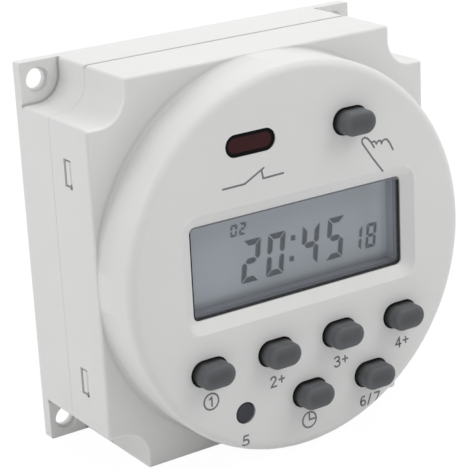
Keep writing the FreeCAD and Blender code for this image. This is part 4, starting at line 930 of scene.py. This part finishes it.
outer = around_lens(GAP_SHADE_OUTER)
inner = around_lens(GAP_SHADE_INNER)
gap_shade_plates = [([outer[i - 1], outer[i], inner[i], inner[i - 1]], 0.0) for i in range(len(outer))]
painted_gap_black = moulded("painted_gap_black", from_srgb(13, 11, 12), drift=0.1, dust=0.05,
                       gloss=(0.6, 0.8), Specular_IOR_Level=0.1)
flat_piece("lens_gap_shade", gap_shade_plates, lambda x, z: LENS_DEPTH, painted_gap_black)
# These plates are the painted shade round the lens
print("gasket of", len(gap_shade_plates), "plates")

# %% [markdown]
# ## The foot of the disc
#
# In the mould the disc meets the square in a small hollow curve, not in a knife-sharp corner. A
# slim ring with that curve fills the corner. It gets thinner where the disc comes close to the
# side of the square, because there is no room for it.

# %% Disc foot
SQUARE_HALF = 30.0
FOOT_ROUND = 0.6
FOOT_BURIED = 0.05
FOOT_FILL = 0.9
FOOT_TURNS = 180
FOOT_CURVE = 6


def foot_profile(turn):
    """Points (radius, depth) round the ring's cut at one angle, first those of the hollow curve."""
    room = SQUARE_HALF / max(abs(math.cos(turn)), abs(math.sin(turn))) - DISC_RADIUS
    size = min(FOOT_ROUND, FOOT_FILL * room)
    angles = [math.pi / 2 * step / FOOT_CURVE for step in range(FOOT_CURVE + 1)]
    curve = [(DISC_RADIUS + size * (1 - math.cos(angle)),
              SHOULDER_DEPTH + size * (1 - math.sin(angle))) for angle in angles]
    return curve + [(DISC_RADIUS + size, SHOULDER_DEPTH - FOOT_BURIED),
                    (DISC_RADIUS - FOOT_BURIED, SHOULDER_DEPTH - FOOT_BURIED),
                    (DISC_RADIUS - FOOT_BURIED, SHOULDER_DEPTH + size)]


def make_disc_foot():
    around = []
    for index in range(FOOT_TURNS):
        turn = math.tau * index / FOOT_TURNS
        around.append([(radius * math.cos(turn) * MM, -depth * MM, radius * math.sin(turn) * MM)
                       for radius, depth in foot_profile(turn)])
    size = len(around[0])
    faces = [(a * size + k, b * size + k, b * size + (k + 1) % size, a * size + (k + 1) % size)
             for a, b in zip(range(FOOT_TURNS), [*range(1, FOOT_TURNS), 0]) for k in range(size)]
    mesh = bpy.data.meshes.new("disc_foot_fillet")
    mesh.from_pydata([point for ring in around for point in ring], [], faces)
    mesh.polygons.foreach_set("use_smooth", [k < FOOT_CURVE for k in range(size)] * FOOT_TURNS)
    shape = bmesh.new()
    shape.from_mesh(mesh)
    bmesh.ops.recalc_face_normals(shape, faces=shape.faces)
    shape.to_mesh(mesh)
    shape.free()
    return on_housing("disc_foot_fillet", mesh, FINISHES["housing"])


print("ring of", len(make_disc_foot().data.polygons), "faces")

# %% [markdown]
# ## Prints on the disc
#
# Thin grey lines are printed on the disc: an open contact under the lens, a pointing hand beside
# the upper key, a clock face, and plain numbers in place of lettering. A line is a strip of ink of
# even width with round ends, so one helper turns a row of points into such a strip. Where two lines
# cross, the second lies a hair higher, because two faces in one place would shade each other.

# %% Printed lines
printed_grey = moulded("printed_grey", from_srgb(118, 120, 122), grain=0.15, drift=0.06,
                       gloss=(0.4, 0.5))
FRONT_DEPTH = 29.7
RIM_ROUND = 1.6
INK_HEIGHT = 0.012
LINE_WIDTH = 0.29
ROUND_STEPS = 8
LONGEST_PLATE = 0.25
LONGEST_MITRE = 1.5
INK_STEP = 0.004


def on_disc(x, z):
    """Depth of the disc's skin, which is flat in the middle and rounds off towards the rim."""
    past = max(0.0, math.hypot(x, z) - (DISC_RADIUS - RIM_ROUND))
    return FRONT_DEPTH - RIM_ROUND + math.sqrt(max(0.0, RIM_ROUND ** 2 - past ** 2))


def divided(points):
    """The same line with more points, so that it can follow the rounded rim."""
    finer = [points[0]]
    for (x0, z0), (x1, z1) in zip(points, points[1:]):
        pieces = math.ceil(math.hypot(x1 - x0, z1 - z0) / LONGEST_PLATE)
        finer += [(x0 + (x1 - x0) * step / pieces, z0 + (z1 - z0) * step / pieces)
                  for step in range(1, pieces + 1)]
    return finer


def turned(start, end):
    """The unit vector square to the way from one point to the next."""
    length = math.hypot(end[0] - start[0], end[1] - start[1])
    return Vector(((start[1] - end[1]) / length, (end[0] - start[0]) / length))


def ink_line(points):
    """Plates side by side that make one line of even width, mitred at its corners."""
    closed = math.dist(points[0], points[-1]) < 1e-6
    points = divided(points)
    sides = [turned(a, b) for a, b in zip(points, points[1:])]
    before = [sides[-1] if closed else sides[0]] + sides
    after = sides + [sides[0] if closed else sides[-1]]
    half = LINE_WIDTH / 2
    edges = []
    for (x, z), first, second in zip(points, before, after):
        middle = (first + second).normalized()
        reach = middle * min(half / max(middle.dot(first), 0.1), LONGEST_MITRE * half)
        edges.append(((x + reach[0], z + reach[1]), (x - reach[0], z - reach[1])))
    outlines = [[a[0], b[0], b[1], a[1]] for a, b in zip(edges, edges[1:])]
    if not closed:
        for (x, z), side, turn in ((points[0], sides[0], 1), (points[-1], sides[-1], -1)):
            start = math.atan2(side[1], side[0])
            outlines.append([(x + half * math.cos(start + turn * math.pi * step / ROUND_STEPS),
                              z + half * math.sin(start + turn * math.pi * step / ROUND_STEPS))
                             for step in range(ROUND_STEPS + 1)])
    return outlines


def circle_points(x, z, radius, steps=40):
    angles = [math.tau * step / steps for step in range(steps + 1)]
    return [(x + radius * math.cos(angle), z + radius * math.sin(angle)) for angle in angles]


# Each sign is drawn in a box one high, as one or more lines
SIGNS = {
    "1": [[(0.12, 0.78), (0.38, 1.0), (0.38, 0.0)]],
    "2": [[(0.06, 0.78), (0.14, 0.93), (0.33, 1.0), (0.53, 0.95), (0.62, 0.8), (0.58, 0.6),
           (0.05, 0.0), (0.66, 0.0)]],
    "3": [[(0.06, 0.88), (0.22, 0.99), (0.42, 0.99), (0.58, 0.88), (0.6, 0.7), (0.48, 0.57),
           (0.28, 0.53), (0.52, 0.49), (0.65, 0.34), (0.63, 0.15), (0.46, 0.01), (0.22, 0.0),
           (0.03, 0.13)]],
    "4": [[(0.5, 0.0), (0.5, 1.0), (0.03, 0.3), (0.68, 0.3)]],
    "5": [[(0.6, 1.0), (0.14, 1.0), (0.08, 0.55), (0.3, 0.62), (0.52, 0.57), (0.64, 0.38),
           (0.61, 0.16), (0.44, 0.02), (0.2, 0.0), (0.03, 0.12)]],
    "6": [[(0.56, 0.95), (0.36, 1.0), (0.17, 0.86), (0.06, 0.58), (0.06, 0.25), (0.18, 0.04),
           (0.38, 0.0), (0.56, 0.08), (0.64, 0.29), (0.56, 0.5), (0.36, 0.59), (0.16, 0.5),
           (0.07, 0.34)]],
    "7": [[(0.04, 1.0), (0.65, 1.0), (0.26, 0.0)]],
    "+": [[(0.35, 0.26), (0.35, 0.86)], [(0.06, 0.56), (0.64, 0.56)]],
    "/": [[(0.05, -0.04), (0.45, 1.04)]],
}
SIGN_STEP = 0.92


def sign_lines(text, x, z, height):
    """The lines of a row of signs about a centre."""
    advance = height * SIGN_STEP
    left = x - advance * (len(text) - 1) / 2 - 0.35 * height
    lines = []
    for index, sign in enumerate(text):
        for line in SIGNS[sign]:
            lines.append([(left + index * advance + height * u, z + height * (v - 0.5))
                          for u, v in line])
    return lines


PRINTS = {
    "contact_symbol": [
        [(-13.7, 13.75), (-9.98, 13.8), (-6.62, 15.5)],
        [(-7.0, 15.25), (-6.78, 13.97), (-3.25, 14.05)]],
    "hand_symbol": [
        [(13.35, 14.55), (12.72, 15.53), (12.17, 16.15), (11.62, 16.42), (11.16, 16.22),
         (11.12, 15.66), (12.93, 13.09), (14.86, 10.58)],
        [(12.96, 15.45), (13.38, 15.5), (13.65, 15.27), (13.78, 15.01), (14.03, 15.35),
         (14.42, 15.43), (14.66, 15.18), (14.78, 14.84), (14.92, 15.25), (15.37, 15.43),
         (15.84, 15.27), (16.3, 14.67), (16.61, 14.06), (16.9, 13.53)]],
    "program_number": [circle_points(-17.6, -17.7, 1.25)] + sign_lines("1", -17.55, -17.7, 1.4),
    "day_number": sign_lines("2+", -5.8, -17.7, 1.6),
    "hour_number": sign_lines("3+", 6.05, -17.7, 1.6),
    "minute_number": sign_lines("4+", 17.9, -17.7, 1.6),
    "reset_number": sign_lines("5", -11.9, -25.7, 1.6),
    "clock_symbol": [circle_points(-0.26, -25.7, 1.25),
                     [(-0.26, -24.45), (-0.26, -25.7), (0.99, -25.7)]],
    "recall_number": sign_lines("6/7", 11.4, -25.6, 1.5),
}
for label, lines in PRINTS.items():
    plates = [(outline, INK_HEIGHT + index * INK_STEP)
              for index, line in enumerate(lines) for outline in ink_line(line)]
    flat_piece(f"printed_{label}", plates, on_disc, printed_grey)
print(len(PRINTS), "prints")

# %% [markdown]
# ## Floor
#
# The object stands on a plain white table. The floor takes shadows like any pale surface, but most
# of what the camera sees of it is its own glow, so it looks white while the lamps stay at a plain
# level. Mirror images and clear pieces see the same glow. It lies a hair below the housing,
# because two faces in one place would shade each other.

# %% Floor
FLOOR_Z = -0.03005
FLOOR_SIZE = 6.0
FLOOR_GLOW = 0.94
GLOW_STRENGTH = 1.03


def seen_as_white(tree, paths):
    """One for rays that come from the camera, a mirror image or a clear piece, otherwise zero."""
    mirrored = add(tree, "ShaderNodeMath", (-500, 500), operation="MAXIMUM",
                   inputs={0: paths.outputs["Is Glossy Ray"],
                           1: paths.outputs["Is Transmission Ray"]})
    seen = add(tree, "ShaderNodeMath", (-300, 500), operation="MAXIMUM",
               inputs={0: paths.outputs["Is Camera Ray"], 1: mirrored.outputs[0]})
    return seen.outputs[0]


def make_floor():
    material, tree, shader = new_material("studio_white")
    shader.inputs["Base Color"].default_value = grey(0.8)
    shader.inputs["Roughness"].default_value = 0.9
    paths = add(tree, "ShaderNodeLightPath", (-300, 300))
    glow = add(tree, "ShaderNodeEmission", (0, 300),
               inputs={"Color": grey(1.0), "Strength": GLOW_STRENGTH})
    seen = add(tree, "ShaderNodeMath", (-100, 500), operation="MULTIPLY",
               inputs={0: seen_as_white(tree, paths), 1: FLOOR_GLOW})
    mixed = add(tree, "ShaderNodeMixShader", (450, 200),
                inputs={0: seen.outputs[0], 1: shader.outputs[0], 2: glow.outputs[0]})
    tree.links.new(mixed.outputs[0], first_node(tree, "OUTPUT_MATERIAL").inputs["Surface"])
    mesh = bpy.data.meshes.new("studio_floor")
    half = FLOOR_SIZE / 2
    corners = [(x * half, y * half, FLOOR_Z) for x, y in ((-1, -1), (1, -1), (1, 1), (-1, 1))]
    mesh.from_pydata(corners, [], [(0, 1, 2, 3)])
    mesh.materials.append(material)
    floor = bpy.data.objects.new("studio_floor", mesh)
    scene.collection.objects.link(floor)
    return floor


print(make_floor().name, "is", FLOOR_SIZE, "m wide")

# %% [markdown]
# ## Light
#
# Four round lamps give the soft light of a studio. The strongest stands far to the left, a little
# behind, and shows the form of the left side. The next one, in front on the right, lights the disc.
# One above and one behind brighten the top. The world fills in the rest. The camera sees it white,
# but as a light it is only half as strong.

# %% Lamps and world


def area_lamp(name, place, towards, size, power):
    data = bpy.data.lights.new(name, "AREA")
    data.shape = "DISK"
    data.size = size
    data.energy = power
    lamp = bpy.data.objects.new(name, data)
    lamp.location = place
    lamp.rotation_euler = (Vector(towards) - Vector(place)).to_track_quat("-Z", "Y").to_euler()
    scene.collection.objects.link(lamp)
    return lamp


OBJECT_CENTRE = (0, -0.015, 0)
WORLD_LIGHT = 0.5
area_lamp("left_lamp", (-0.75, 0.3, 0.4), OBJECT_CENTRE, 0.6, 1.6)
area_lamp("overhead_lamp", (0.0, 0.0, 0.8), OBJECT_CENTRE, 0.6, 0.95)
area_lamp("back_lamp", (0.35, 0.25, 0.62), OBJECT_CENTRE, 0.5, 1.0)
area_lamp("right_lamp", (0.4, -0.4, 0.6), OBJECT_CENTRE, 0.5, 1.45)


def make_world():
    world = bpy.data.worlds.new("studio")
    world.use_nodes = True
    tree = world.node_tree
    tree.nodes.clear()
    paths = add(tree, "ShaderNodeLightPath", (-600, 0))
    seen = seen_as_white(tree, paths)
    level = add(tree, "ShaderNodeMapRange", (-200, 0),
                inputs={"Value": seen, "To Min": WORLD_LIGHT, "To Max": 1.0})
    background = add(tree, "ShaderNodeBackground", (0, 0),
                     inputs={"Color": grey(1.0), "Strength": level.outputs[0]})
    output = add(tree, "ShaderNodeOutputWorld", (250, 0))
    tree.links.new(background.outputs[0], output.inputs["Surface"])
    scene.world = world


make_world()
scene.view_settings.view_transform = "Standard"
